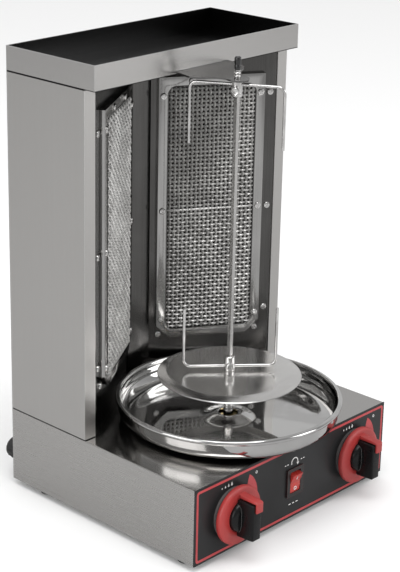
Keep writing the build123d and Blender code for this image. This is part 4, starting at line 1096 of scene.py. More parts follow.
@dataclass
class Burner:
    """One infrared burner: its frame, woven mesh and screws, made on the right and mirrored."""

    grill: Grill
    wing_degrees: float = 32.0
    corner_x_mm: float = 16.0
    wing_outer_x_mm: float = 129.0
    wing_outer_y_mm: float = 21.0
    width_mm: float = 114.0
    length_mm: float = 287.0
    bottom_mm: float = 131.0
    inset_mm: float = 7.0
    border_mm: float = 10.0
    stand_mm: float = 6.0
    clip_mm: float = 14.0
    window_corner_mm: float = 9.0
    pitch_mm: float = 4.45
    wire_mm: float = 1.2
    swing_mm: float = 0.9
    wobble_mm: float = 0.16
    mesh_rise_mm: float = 3.9
    mesh_base_mm: float = 2.7
    slope_mm: float = 10.0
    fullness: float = 0.8
    seam_runs: int = 40
    seam_y_mm: float = 0.4
    seam_sink_mm: float = 1.35

    def place(self, x_mm: float = 0.0, y_mm: float = 0.0, z_mm: float = 0.0) -> Matrix:
        """Find a place on the right burner: X outwards, Y up, Z to the spit.

        Args:
            x_mm: How far outwards from the burner's middle.
            y_mm: How far up from its middle.
            z_mm: How far out of the wing panel.

        Returns:
            The place, with its local axes along the burner's.
        """
        turn = math.radians(self.wing_degrees)
        outward = Vector((math.cos(turn), -math.sin(turn), 0.0))
        facing = Vector((-math.sin(turn), -math.cos(turn), 0.0))
        corner_y = self.wing_outer_y_mm + (self.wing_outer_x_mm - self.corner_x_mm) * math.tan(turn)
        middle = Vector((self.corner_x_mm, corner_y, self.bottom_mm + self.length_mm / 2))
        middle += outward * (self.inset_mm + self.width_mm / 2)
        spot = (middle + outward * x_mm + Vector((0, 0, y_mm)) + facing * z_mm) / 1000.0
        basis = Matrix((outward, Vector((0, 0, 1)), facing)).transposed().to_4x4()
        return Matrix.Translation(spot) @ basis

    def frame_pieces(self) -> tuple[Piece, Piece]:
        """Make the frame with its folded skirt, and the rolled lip inside it.

        Returns:
            The bright frame and the dark lip.
        """
        w, l, c = self.width_mm / 2, self.length_mm / 2, self.clip_mm
        outer = [(-w + c, -l), (w - c, -l), (w, -l + c), (w, l), (-w, l), (-w, -l + c)]
        inner = [(x * (w - 1) / w, y * (l - 1) / l) for x, y in outer]
        opening = (self.width_mm - 2 * self.border_mm, self.length_mm - 2 * self.border_mm)
        window = Outline.rounded(*opening, self.window_corner_mm)
        face = Bench.plate("frame_face", [outer, window[::-1]], 1.0, 0.35)
        face.data.transform(Matrix.Translation((0, 0, mm(self.stand_mm - 1.0))))
        skirt = Bench.plate("frame_skirt", [outer, inner[::-1]], self.stand_mm - 0.4, 0.1)
        lip_path = [(x, y, self.stand_mm - 0.35) for x, y in window]
        lip = Bench.wires("frame_lip", [lip_path], 0.75, closed=True)
        fold_path = [(x, y, self.stand_mm - 2.2) for x, y in window]
        fold = Bench.wires("frame_fold", [fold_path], 0.9, closed=True)
        whole = Bench.join("burner_frame_bright_right", [face, skirt])
        dark = Bench.join("burner_frame_lip_right", [lip, fold])
        for piece in (whole, dark):
            piece.data.transform(self.place())
            Bench.smooth(piece, 40)
        return whole, dark

    def lift(self, x_mm: float, y_mm: float) -> float:
        """Work out how far the woven mesh bulges at a point.

        Args:
            x_mm: How far the point is outwards from the burner's middle.
            y_mm: How far it is up from the middle.

        Returns:
            The bulge in millimetres.
        """
        half_w = self.width_mm / 2 - self.border_mm + 2.0
        half_l = self.length_mm / 2 - self.border_mm + 2.0
        edge = max(0.0, min(half_w - abs(x_mm), half_l - abs(y_mm)))
        share = min(1.0, edge / self.slope_mm)
        return self.mesh_rise_mm * math.sin(share * math.pi / 2) ** self.fullness

    def strand(
        self, upright: bool, index: int, fixed: float, half: float, cells: int
    ) -> list[Spot]:
        """Lay one wire of the weave over and under the wires that it crosses.

        Args:
            upright: Whether the wire runs up the burner instead of across it.
            index: Which wire it is, counted from the inner side or from the bottom.
            fixed: How far it stands from the burner's middle.
            half: Half its length.
            cells: How many meshes it passes.

        Returns:
            The wire's points on the burner.
        """
        step = 2 * half / cells
        over = 1.0 if (index + upright) % 2 else -1.0
        points = []
        for i in range(3 * cells + 1):
            run = -half + i * step / 3
            x, y = (fixed, run) if upright else (run, fixed)
            bent = self.wobble_mm * math.sin(12.9 * index + 0.31 * i + (2.0 if upright else 0.0))
            wave = over * self.swing_mm * math.cos(math.pi * i / 3)
            z = self.mesh_base_mm + self.lift(x, y) + wave
            points.append((x + bent, y, z) if upright else (x, y + bent, z))
        return points

    def woven(self) -> Piece:
        """Weave the pillow of wire that bulges through the frame.

        Returns:
            The woven mesh, with a bright seam wire across its middle.
        """
        half_w = self.width_mm / 2 - self.border_mm + 1.4
        half_l = self.length_mm / 2 - self.border_mm + 1.4
        across, along = int(2 * half_w / self.pitch_mm), int(2 * half_l / self.pitch_mm)
        step_x, step_y = 2 * half_w / across, 2 * half_l / along
        wires = [
            self.strand(True, i, -half_w + i * step_x, half_l, along) for i in range(across + 1)
        ]
        wires += [
            self.strand(False, i, -half_l + i * step_y, half_w, across) for i in range(along + 1)
        ]
        seam = []
        for i in range(self.seam_runs + 1):
            x = -half_w + 2.0 + i * (2 * half_w - 4.0) / self.seam_runs
            z = self.mesh_base_mm + self.lift(x, 0.0) + self.swing_mm + self.wire_mm
            seam.append((x, self.seam_y_mm, z - self.seam_sink_mm))
        piece = Bench.wires("burner_weave_right", [*wires, seam], self.wire_mm, sides=0)
        piece.data.transform(self.place())
        return Bench.smooth(piece, 80)

    def frame_screws(self) -> list[Matrix]:
        """Place the screws that hold the right frame.

        Returns:
            The place of each screw.
        """
        x = (self.width_mm - self.border_mm) / 2
        low, high = -self.length_mm / 2 + 22.0, self.length_mm / 2 - 20.0
        top = self.length_mm / 2 - self.border_mm / 2
        spots = [(s * x, y) for s in (-1, 1) for y in (low, 0.0, high)]
        spots += [(-22.0, top), (22.0, top)]
        return [self.place(a, b, self.stand_mm) for a, b in spots]

    def wing_screws(self) -> list[Matrix]:
        """Place the screws on the right wing, down its edge and by the clipped corners.

        Returns:
            The place of each screw.
        """
        along = self.width_mm / 2 + 7.0
        corner_x, corner_y = self.width_mm / 2 - 3.0, -self.length_mm / 2 + 3.0
        spots = [(along, y) for y in (-118.0, -2.0, 122.0)]
        spots += [(s * corner_x, corner_y) for s in (-1, 1)]
        return [self.place(x, y, 0.0) for x, y in spots]

    def build(self) -> None:
        """Build both burners and the wing screws."""
        fit = self.grill.fit
        frame, lip = self.frame_pieces()
        weave = self.woven()
        screws = Screws().set("burner_screw_heads_right", self.frame_screws())
        wing = Screws().set("wing_screw_heads", self.wing_screws())
        wing = Bench.join("wing_screw_heads", [wing, Bench.mirror(wing, "wing_left")])
        for piece, finish, slot, node in (
            (frame, "bright_sheet", "polished_steel", "burner_frame"),
            (weave, "mesh_wire", "mesh_wire", "burner_mesh"),
            (screws, "fork_chrome", "screw_steel", "burner_screws"),
        ):
            twin = Bench.mirror(piece, piece.name.replace("right", "left"))
            fit(piece, "cabinet", finish, slot, [f"{node}_right"])
            fit(twin, "cabinet", finish, slot, [f"{node}_left"])
        for piece in (lip, Bench.mirror(lip, "burner_frame_lip_left")):
            fit(piece, "cabinet", "liner_sheet", "polished_steel")
        fit(wing, "cabinet", "fork_chrome", "screw_steel", ["wing_screws"])


@dataclass
class Spit:
    """The disc, socket, neck and cap that turn with the square bar."""

    grill: Grill
    disc_mm: float = 73.5
    flat_mm: float = 63.5
    top_mm: float = 138.0
    drop_mm: float = 3.5
    sheet_mm: float = 1.4
    socket_mm: float = 5.2
    socket_bottom_mm: float = 89.2

    def disc(self) -> Piece:
        """Turn the meat disc with its folded rim.

        Returns:
            The disc.
        """
        t, f, r, d, s = self.top_mm, self.flat_mm, self.disc_mm, self.drop_mm, self.sheet_mm
        slope = d / (r - f)
        rings = [(3.0, t - s), (f * 0.5, t - s), (f - 1.2, t - s), (f, t - s - 0.12)]
        rings += [(r - 1.0, t - s - slope * (r - 1.0 - f)), (r - 0.2, t - s - d + 0.3)]
        rings += [(r, t - s - d + 0.7), (r, t - d - 0.2), (r - 0.4, t - d + 0.1)]
        rings += [(r - 1.2, t - d + 0.45), (f + 1.2, t - slope * 1.2), (f, t - 0.10), (f - 1.2, t)]
        rings += [(f * 0.5, t), (3.0, t), (3.0, t - s)]
        return Bench.turned_at("meat_disc", rings, 128, at_point(0, SPIT_Y_MM), 12)

    def socket(self) -> Piece:
        """Turn the drive socket with its grooves.

        Returns:
            The socket.
        """
        r, b, t = self.socket_mm, self.socket_bottom_mm, self.top_mm - self.sheet_mm
        rings = [(3.6, b), (r - 0.6, b), (r, b + 0.6), (r, b + 9.6), (r - 0.9, b + 10.2)]
        rings += [(r - 0.9, b + 11.6), (r, b + 12.2), (r, b + 20.0), (r - 0.5, b + 20.5)]
        rings += [(r - 0.5, b + 21.3), (r, b + 21.8), (r, t - 0.5), (r - 0.5, t), (2.9, t)]
        rings += [(2.9, b + 24.0), (3.6, b + 22.0), (3.6, b)]
        return Bench.turned_at("drive_socket_chrome", rings, 40, at_point(0, SPIT_Y_MM), 30)

    def neck(self) -> Piece:
        """Turn the rings between the bracket and the cap.

        Returns:
            The neck.
        """
        rings = [(2.6, 442.8), (3.2, 443.0), (3.4, 443.6), (3.2, 444.3), (2.8, 444.6), (2.8, 445.4)]
        rings += [(3.3, 445.8), (3.5, 446.6), (3.3, 447.4), (2.8, 447.8), (2.8, 448.8)]
        rings += [(3.2, 449.3), (3.2, 449.9), (2.6, 450.0), (2.6, 442.8)]
        return Bench.turned_at("spit_neck_rings", rings, 32, at_point(0, SPIT_Y_MM), 40)

    def cap(self) -> Piece:
        """Turn the cap on the spit's top.

        Returns:
            The cap.
        """
        rings = [(2.65, 450.1), (3.0, 450.05), (3.3, 450.5), (3.3, 454.6), (3.15, 454.9)]
        rings += [(3.3, 455.2), (3.3, 461.2), (3.1, 462.1), (2.6, 462.7), (1.6, 463.0), (0, 463.0)]
        return Bench.turned_at("spit_cap_black", rings, 32, at_point(0, SPIT_Y_MM), 40)

    def build(self) -> None:
        """Build the pieces that turn with the spit."""
        fit = self.grill.fit
        fit(self.disc(), "spit", "disc_satin", "polished_steel", ["spit_disc"])
        fit(self.socket(), "spit", "fork_chrome", "polished_steel", ["drive_socket"])
        fit(self.neck(), "spit", "fork_chrome", "polished_steel")
        fit(self.cap(), "spit", "cap_black", "knob_black", ["spit_cap"])


@dataclass
class Fork:
    """A two-tined fork with its collar and ring-headed clamp screw."""

    grill: Grill
    word: str
    bottom_mm: float
    arm_mm: float
    degrees: float
    tines_up: bool
    reach_mm: float = 47.0
    tine_mm: float = 62.0
    bend_mm: float = 7.0
    wire_mm: float = 1.5
    collar_mm: float = 5.4
    height_mm: float = 16.0

    def wires(self) -> list[Piece]:
        """Bend the two wires, each from the collar to the tip of its tine.

        Returns:
            The two wires.
        """
        turn = math.radians(self.degrees)
        out = Vector((math.cos(turn), math.sin(turn), 0.0))
        tip = self.tine_mm if self.tines_up else -self.tine_mm
        made = []
        for way in (-1, 1):
            base = Vector((0.0, SPIT_Y_MM, self.arm_mm))
            corner = base + out * (way * self.reach_mm)
            end = corner + Vector((0, 0, tip))
            path = Outline.bend([base + out * (way * 3.4), corner, end], self.bend_mm)
            made.append(Bench.wires(f"{self.word}_tine", [path], self.wire_mm, sides=4))
        return made

    def collar(self) -> Piece:
        """Turn the collar with chamfered ends and a shallow groove.

        Returns:
            The collar.
        """
        r, b, h = self.collar_mm, self.bottom_mm, self.height_mm
        rings = [(2.9, b), (r - 0.7, b), (r, b + 0.7), (r, b + 3.0), (r - 0.35, b + 3.4)]
        rings += [(r - 0.35, b + 3.9), (r, b + 4.3), (r, b + h - 0.7), (r - 0.7, b + h)]
        rings += [(2.9, b + h), (2.9, b)]
        return Bench.settle(Bench.turned(f"{self.word}_collar", rings, 40), at_point(0, SPIT_Y_MM))

    def screw(self) -> Piece:
        """Turn the clamp screw: a shank, and a hollow rounded ring for a head.

        Returns:
            The screw.
        """
        start, seat = 3.0, self.collar_mm + 0.3
        head, r = 4.5, 4.2
        rings = [(0, start), (1.2, start), (1.5, start + 0.3), (1.5, seat), (3.3, seat)]
        rings += [(4.0, seat + 0.5), (r, seat + 1.6), (r, seat + head - 1.4)]
        rings += [(3.9, seat + head - 0.5), (3.2, seat + head), (2.5, seat + head - 0.2)]
        rings += [(2.1, seat + head - 0.8), (2.0, seat + 1.9), (0, seat + 1.7)]
        across = math.radians(self.degrees - 90.0)
        axis = Vector((math.cos(across), math.sin(across), 0.0))
        turn = axis.to_track_quat("Z", "Y").to_matrix().to_4x4()
        place = at_point(0, SPIT_Y_MM, self.bottom_mm + self.height_mm / 2 - 1.0) @ turn
        return Bench.turned_at(f"{self.word}_ring_screw", rings, 32, place, 35)

    def build(self) -> None:
        """Build the fork and its screw on their own bodies."""
        word, fit = self.word, self.grill.fit
        fork = Bench.smooth(Bench.join(f"{word}_fork_chrome", [self.collar(), *self.wires()]), 35)
        fit(fork, f"{word}_fork", "fork_chrome", "polished_steel", [f"{word}_fork"])
        fit(self.screw(), f"{word}_clamp", "fork_chrome", "screw_steel", [f"{word}_fork_screw"])


@dataclass
class DripPan:
    """The spun pan that catches the fat."""

    grill: Grill
    bottom_mm: float = 86.3
    sheet_mm: float = 1.0
    hole_mm: float = 10.0
    dome_top_mm: float = 14.0
    dome_rise_mm: float = 4.5
    band_mm: float = 113.4
    bead_mm: float = 2.6
    rim_mm: float = 109.9

    def build(self) -> None:
        """Spin the pan: a raised centre, a flat floor, a bowl, a band and a rolled rim."""
        b, s = self.bottom_mm, self.sheet_mm
        top, f = b + self.dome_rise_mm + s, b + s
        inner = [(self.hole_mm, top - 0.3), (self.hole_mm + 0.4, top)]
        inner += [(self.dome_top_mm - 1.5, top), (self.dome_top_mm + 0.4, top - 0.25)]
        inner += [(17.5, top - 1.3), (22.0, f + 1.7), (25.0, f + 0.55), (28.0, f + 0.08), (31.0, f)]
        inner += [(60.0, f), (88.0, f), (93.5, f + 0.12), (97.5, f + 0.5), (101.0, f + 1.25)]
        inner += [(104.3, f + 2.5), (107.2, f + 4.3), (109.5, f + 6.5), (111.1, f + 9.0)]
        inner += [(112.0, f + 11.4), (112.4, f + 14.0), (112.4, self.rim_mm - 2.2)]
        bead = Outline.arc((self.band_mm, self.rim_mm), self.bead_mm, 200, -80, 14)
        outer = [(r + 0.95, z - 0.55) for r, z in inner[-2:12:-1]]
        outer += [(88.0, b), (60.0, b), (30.0, b), (27.0, b + 0.1), (24.2, b + 0.75)]
        outer += [(21.3, b + 1.9), (17.0, b + 3.3), (13.6, b + 4.3), (self.hole_mm, top - s)]
        outer += [(self.hole_mm, top - 0.3)]
        rings = [*inner, *bead, *outer]
        piece = Bench.turned_at("drip_pan_spun", rings, 128, at_point(0, SPIT_Y_MM), 50)
        self.grill.fit(piece, "pan", "pan_polish", "polished_steel", ["drip_pan"])


@dataclass
class Knob:
    """A gas knob: a red ring with a hooked pointer, a black grip and the ring behind it."""

    grill: Grill
    side: Side
    ring_mm: float = 30.0
    rear_mm: float = 6.0
    front_mm: float = 12.0
    hub_mm: float = 16.0
    grip_width_mm: float = 13.0
    grip_length_mm: float = 39.0
    grip_front_mm: float = 32.0
    pointer_width_mm: float = 9.0
    pointer_shift_mm: float = 1.2

    def place(self) -> Matrix:
        """Return the knob's place on the panel."""
        return facing_user(self.side.value * KNOB_X_MM, KNOB_Z_MM)

    def ring(self) -> Piece:
        """Mould the red ring and its hooked pointer in one.

        Returns:
            The moulding.
        """
        r, b, f, h = self.ring_mm, self.rear_mm, self.front_mm, self.hub_mm + 0.1
        rings = [(h + 0.4, b), (r - 1.2, b), (r - 0.3, b + 0.4), (r, b + 1.2), (r, f - 2.4)]
        rings += [(r - 0.5, f - 1.2), (r - 1.6, f - 0.5), (r - 3.4, f - 0.2), (h + 5.0, f)]
        rings += [(h + 1.2, f - 0.1), (h + 0.3, f - 0.5), (h, f - 1.4), (h, b + 0.5), (h + 0.4, b)]
        ring = Bench.turned("ring", rings, 96)
        low = self.grip_length_mm / 2 + 0.1
        front = self.grip_front_mm
        side_view = [(f - 1.0, low), (front + 0.1, low), (front + 0.1, low - 8.2)]
        side_view += [(front + 1.0, low - 9.0), (front + 2.5, low - 8.4), (front + 2.5, low + 1.3)]
        side_view += [(front + 1.5, low + 2.3), (front - 2.0, low + 3.1), (f + 3.0, low + 4.0)]
        side_view += [(f - 1.0, low + 4.6)]
        hook = Bench.plate("hook", [side_view], self.pointer_width_mm, 0.9)
        left = mm(self.pointer_shift_mm - self.pointer_width_mm / 2)
        to_side = Matrix(((0, 0, 1, left), (0, 1, 0, 0), (1, 0, 0, 0), (0, 0, 0, 1)))
        hook.data.transform(to_side)
        hook.data.flip_normals()
        whole = Bench.join(f"knob_ring_{self.side.word}", [ring, hook])
        return Bench.smooth(Bench.settle(whole, self.place()), 32)

    def grip(self) -> Piece:
        """Mould the black hub and grip in one.

        Returns:
            The moulding.
        """
        w, l, front = self.grip_width_mm / 2, self.grip_length_mm / 2, self.grip_front_mm
        b, h = self.rear_mm, self.hub_mm - 0.15
        rings = [(4.1, b), (h - 0.4, b), (h, b + 0.4), (h, 13.5), (h - 0.8, 15.4), (h - 2.6, 16.8)]
        rings += [(9.0, 17.8), (4.0, 18.0), (0, 18.0)]
        hub = Bench.turned("hub", rings, 64)
        bar = Bench.block("bar", (-w, -l, self.front_mm + 0.1), (w, l, front))
        Bench.open_edit(bar, "FACE")
        Bench.pick_faces(bar, lambda centre, normal: normal.z > 0.9)
        bpy.ops.transform.resize(value=(0.88, 0.97, 1.0), center_override=(0, 0, mm(front)))
        Bench.close_edit(bar)
        Bench.modify(bar, "BEVEL", width=mm(1.3), segments=4, limit_method="ANGLE")
        whole = Bench.join(f"knob_bar_{self.side.word}", [bar, hub])
        return Bench.smooth(Bench.settle(whole, self.place()), 40)

    def build(self) -> None:
        """Build the knob on its body."""
        word, fit = self.side.word, self.grill.fit
        fit(self.ring(), f"knob_{word}", "red_moulding", "knob_red", [f"knob_skirt_{word}"])
        fit(self.grip(), f"knob_{word}", "black_moulding", "knob_black", [f"knob_grip_{word}"])


@dataclass
class ControlPanel:
    """The printed face, the rings behind the knobs and the rocker switch."""

    grill: Grill
    width_mm: float = 290.0
    height_mm: float = 80.0
    middle_mm: float = 46.0
    print_mm: float = 0.12
    line_mm: float = 2.6
    line_inset_mm: float = 2.2
    rocker_mm: float = 15.0
    pivot_depth_mm: float = 4.0
    tilt_degrees: float = 11.0
    mark_mm: float = 0.3

    def printed(
        self, name: str, outlines: Sequence[Sequence[Point]], x_mm: float, z_mm: float
    ) -> Piece:
        """Return a thin printed shape on the panel's face."""
        return Bench.settle(Bench.plate(name, outlines, self.print_mm), facing_user(x_mm, z_mm))

    def border(self) -> Piece:
        """Print the red line round the panel.

        Returns:
            The line.
        """
        w, h = self.width_mm - 2 * self.line_inset_mm, self.height_mm - 2 * self.line_inset_mm
        outer = Outline.rounded(w, h, 3.4)
        inner = Outline.rounded(w - 2 * self.line_mm, h - 2 * self.line_mm, 1.6)
        return self.printed("printed_border", [outer, inner[::-1]], 0.0, self.middle_mm)

    def flame_scale(self, side: Side) -> Piece:
        """Print the tapering red flame scale that follows a knob's upper right.

        Args:
            side: The knob's side.

        Returns:
            The flame scale.
        """
        outer = [(24.5, 31.0), (27.0, 29.2), (29.6, 26.6), (32.2, 23.0), (34.4, 18.6), (36.0, 13.6)]
        outer += [(36.6, 8.4), (36.0, 4.0), (33.0, 2.0)]
        inner = Outline.arc((0, 0), 28.0, 4.0, 42.0, 10)
        root = [(21.6, 20.6), (22.2, 24.4), (23.4, 28.0)]
        outline = [*outer, *inner, *root][::-1]
        name, x = f"flame_scale_{side.word}", side.value * KNOB_X_MM
        return self.printed(name, [outline], x, KNOB_Z_MM)

    def marks(self) -> Piece:
        """Print the white marks: flames and a ring by each knob, an arrow and dashes by the switch.

        Returns:
            The marks as one piece.
        """
        pieces = []
        for side in Side:
            x = side.value * KNOB_X_MM
            for step in range(4):
                size = 1.3 + 0.5 * step
                drop = [(-0.5 * size, 0), (0, -0.45 * size), (0.5 * size, 0)]
                drop += [(0.3 * size, 0.6 * size), (0, 1.25 * size), (-0.3 * size, 0.6 * size)]
                pieces.append(self.printed("mark", [drop], x - 15.0 + 4.6 * step, 75.0))
            small_ring = [Outline.circle(1.5, 16), Outline.circle(0.9, 16)[::-1]]
            pieces.append(self.printed("mark", small_ring, x + 34.5, 76.0))
        arc_out = Outline.arc((0, 0), 5.2, 200, -20, 18)
        arc_in = Outline.arc((0, 0), 4.2, -20, 200, 18)
        pieces.append(self.printed("mark", [[*arc_out, *arc_in]], 0.0, 66.6))
        head = [(3.0, -0.6), (6.6, -1.0), (4.7, -3.8)]
        pieces.append(self.printed("mark", [head], 0.0, 66.2))
        for x in (-14.0, -10.4, 10.4, 14.0):
            dash = Outline.rounded(2.0, 0.8, 0.3, 2)
            pieces.append(self.printed("mark", [dash], x, 66.8))
        for x in (-5.4, 0.0, 5.4):
            dash = Outline.rounded(3.2, 0.9, 0.3, 2)
            pieces.append(self.printed("mark", [dash], x, 21.5))
        return Bench.join("printed_marks", pieces)

    def bezels(self) -> Piece:
        """Turn the two grey rings between the panel and the knobs.

        Returns:
            The rings as one piece.
        """
        rings = [(18.0, 0.0), (26.0, 0.0), (26.0, 1.7), (25.4, 2.3), (24.4, 2.5), (19.0, 2.5)]
        rings += [(18.3, 2.2), (18.0, 1.6), (18.0, 0.0)]
        pair = []
        for side in Side:
            ring = Bench.turned("bezel", rings, 72)
            pair.append(Bench.settle(ring, facing_user(side.value * KNOB_X_MM, KNOB_Z_MM)))
        return Bench.smooth(Bench.join("knob_backing_rings", pair), 35)

    def rocker_place(self) -> Matrix:
        """Return the place of the rocker's pivot, tilted as at rest."""
        tilt = Matrix.Rotation(math.radians(self.tilt_degrees), 4, "X")
        return at_point(0.0, PANEL_Y_MM + self.pivot_depth_mm, KNOB_Z_MM) @ tilt

    def rocker(self) -> Piece:
        """Mould the red rocker, its lower half pressed in.

        Returns:
            The rocker.
        """
        crown, valley, end, wing, keel = 7.6, 6.0, 10.1, 1.0, 3.0
        profile = [(crown - 0.2, -end), (crown, -end + 0.5), (valley + 0.5, -2.6), (valley, 0.0)]
        profile += [(valley + 0.5, 2.6), (crown, end - 0.5), (crown - 0.2, end), (-wing, end)]
        profile += [(-keel, 0.0), (-wing, -end)]
        piece = Bench.plate("switch_rocker_red", [profile], self.rocker_mm, 0.5)
        left = -mm(self.rocker_mm / 2)
        piece.data.transform(Matrix(((0, 0, 1, left), (-1, 0, 0, 0), (0, 1, 0, 0), (0, 0, 0, 1))))
        piece.data.flip_normals()
        return Bench.smooth(Bench.settle(piece, self.rocker_place()), 30)

    def rocker_marks(self) -> Piece:
        """Print the on and off marks on the rocker's two halves.

        Returns:
            The marks as one piece.
        """
        circles = [Outline.circle(2.0, 24), Outline.circle(1.35, 24)[::-1]]
        ring = Bench.plate("rocker_mark", circles, self.mark_mm)
        bar = Bench.plate("rocker_mark", [Outline.rounded(0.8, 4.0, 0.3, 2)], self.mark_mm)
        slope = math.atan2(1.1, 7.0)
        for piece, rise, lean in ((ring, -6.0, -slope), (bar, 6.0, slope)):
            spot = at_point(0.0, -6.95, rise) @ Matrix.Rotation(lean, 4, "X")
            Bench.settle(piece, self.rocker_place() @ spot @ FACE_ON)
        return Bench.join("rocker_marks", [ring, bar])

    def build(self) -> None:
        """Build the panel's prints, rings and rocker."""
        fit = self.grill.fit
        fit(self.border(), "cabinet", "red_print", "panel_black")
        for side in Side:
            fit(self.flame_scale(side), "cabinet", "red_print", "panel_black")
        fit(self.marks(), "cabinet", "white_print", "panel_black")
        fit(self.bezels(), "cabinet", "grey_moulding", "bezel_grey", ["knob_bezels"])
        fit(self.rocker(), "rocker", "rocker_red", "switch_red", ["switch_rocker"])
        fit(self.rocker_marks(), "rocker", "white_print", "switch_red")


@dataclass
class Fittings:
    """The feet, the cable gland, the gas inlet and the screws of the case."""

    grill: Grill
    half_width_mm: float = 145.0
    back_mm: float = 130.0
    gland_x_mm: float = -127.0
    gland_z_mm: float = 30.0
    inlet_x_mm: float = 50.0
    inlet_z_mm: float = 60.0
    foot_x_mm: float = 133.0
    front_foot_mm: float = -107.0
    back_foot_mm: float = 90.0
    ribs: int = 12

    def facing_back(self, x_mm: float, z_mm: float) -> Matrix:
        """Return a place on the back face, with local Z pointing away from the user."""
        return at_point(x_mm, self.back_mm, z_mm) @ FACE_AWAY

    def feet(self) -> Piece:
        """Mould four rubber feet, each with a groove and a recess for its screw.

        Returns:
            The feet as one piece.
        """
        rings = [(1.55, 2.6), (3.5, 2.6), (3.5, 0.4), (3.9, 0.0), (6.4, 0.0), (7.0, 0.6)]
        rings += [(7.2, 2.2), (7.0, 2.6), (7.1, 3.0), (7.6, 3.4), (7.9, 5.2), (7.8, 5.9)]
        rings += [(7.4, 6.0), (1.55, 6.0), (1.55, 2.6)]
        pattern = Bench.smooth(Bench.turned("foot_pattern", rings, 48), 35)
        rows = (self.front_foot_mm, self.back_foot_mm)
        places = [(s * self.foot_x_mm, y) for s in (-1, 1) for y in rows]
        feet = [Bench.copy(pattern, "foot", at_point(x, y)) for x, y in places]
        bpy.data.objects.remove(pattern)
        return Bench.join("moulded_feet", feet)

    def gland(self) -> Piece:
        """Mould the cable gland with its ribbed dome nut.

        Returns:
            The gland.
        """
        rings = [(3.85, -9.0), (8.0, -9.0), (8.0, 0.0), (12.4, 0.0), (12.4, 4.6), (11.6, 5.0)]
        rings += [(11.3, 5.6), (11.3, 17.6), (10.6, 19.8), (9.0, 21.4), (6.4, 22.4), (6.0, 23.6)]
        rings += [(5.4, 24.0), (4.2, 24.0), (3.85, 23.4), (3.85, 9.0), (3.85, -9.0)]
        body = Bench.turned("gland_body", rings, 48)
        ribs = []
        for index in range(self.ribs):
            rib = Bench.block("rib", (-0.8, 10.6, 6.4), (0.8, 11.9, 17.0))
            edges = {"limit_method": "ANGLE", "angle_limit": BEVEL_ANGLE}
            Bench.modify(rib, "BEVEL", width=mm(0.25), segments=1, **edges)
            rib.data.transform(Matrix.Rotation(math.tau * index / self.ribs, 4, "Z"))
            ribs.append(rib)
        whole = Bench.join("cable_gland_nylon", [body, *ribs])
        place = self.facing_back(self.gland_x_mm, self.gland_z_mm)
        return Bench.smooth(Bench.settle(whole, place), 32)

    def inlet(self) -> Piece:
        """Turn the brass inlet: two hexagons and a barbed tail for the hose.

        Returns:
            The inlet.
        """
        tail = [(2.5, -9.5), (4.4, -9.5), (4.4, 5.0), (4.8, 5.6), (4.0, 8.2), (4.0, 10.0)]
        for start in (10.0, 15.5, 21.0, 26.5):
            tail += [(4.8, start + 0.4), (4.75, start + 1.0), (4.05, start + 4.2)]
            tail += [(4.05, start + 5.0)]
        tail += [(4.4, 32.2), (3.8, 34.3), (2.9, 34.5), (2.5, 34.2), (2.5, -9.5)]
        stem = Bench.turned("inlet_tail", tail, 40)
        hexes = []
        for low, high in ((0.02, 5.0), (-13.1, -1.25)):
            outlines = [Outline.circle(9.9, 6), Outline.circle(4.3, 24)[::-1]]
            nut = Bench.plate("inlet_hex", outlines, high - low, 0.5)
            nut.data.transform(Matrix.Translation((0, 0, mm(low))))
            hexes.append(nut)
        whole = Bench.join("gas_inlet_brass", [stem, *hexes])
        place = self.facing_back(self.inlet_x_mm, self.inlet_z_mm)
        return Bench.smooth(Bench.settle(whole, place), 32)

    def case_screws(self) -> Piece:
        """Place the screws of the back panels and of the top bracket.

        Returns:
            The screw heads as one piece.
        """
        x = self.half_width_mm - 7.0
        heights = (14.0, 78.0, 106.0, 264.0, 422.0)
        places = [self.facing_back(s * x, z) for s in (-1, 1) for z in heights]
        places += [at_point(s * 20.0, 22.0, 446.1) for s in (-1, 1)]
        return Screws().set("case_screw_heads", places)

    def build(self) -> None:
        """Build the fittings."""
        fit = self.grill.fit
        fit(self.feet(), "cabinet", "foot_rubber", "foot_rubber", ["rubber_feet"])
        fit(self.gland(), "cabinet", "gland_nylon", "switch_black", ["cable_gland"])
        fit(self.inlet(), "cabinet", "brass_turned", "brass", ["gas_inlet_fitting"])
        fit(self.case_screws(), "cabinet", "screw_zinc", "screw_steel", ["case_screws"])


# ------------------------------------------------------------------------------ studio
@dataclass(frozen=True)
class Bank:
    """One soft rectangular light: its place and sides in metres and its power in watts."""

    name: str
    place: Spot
    sides: tuple[float, float]
    watts: float


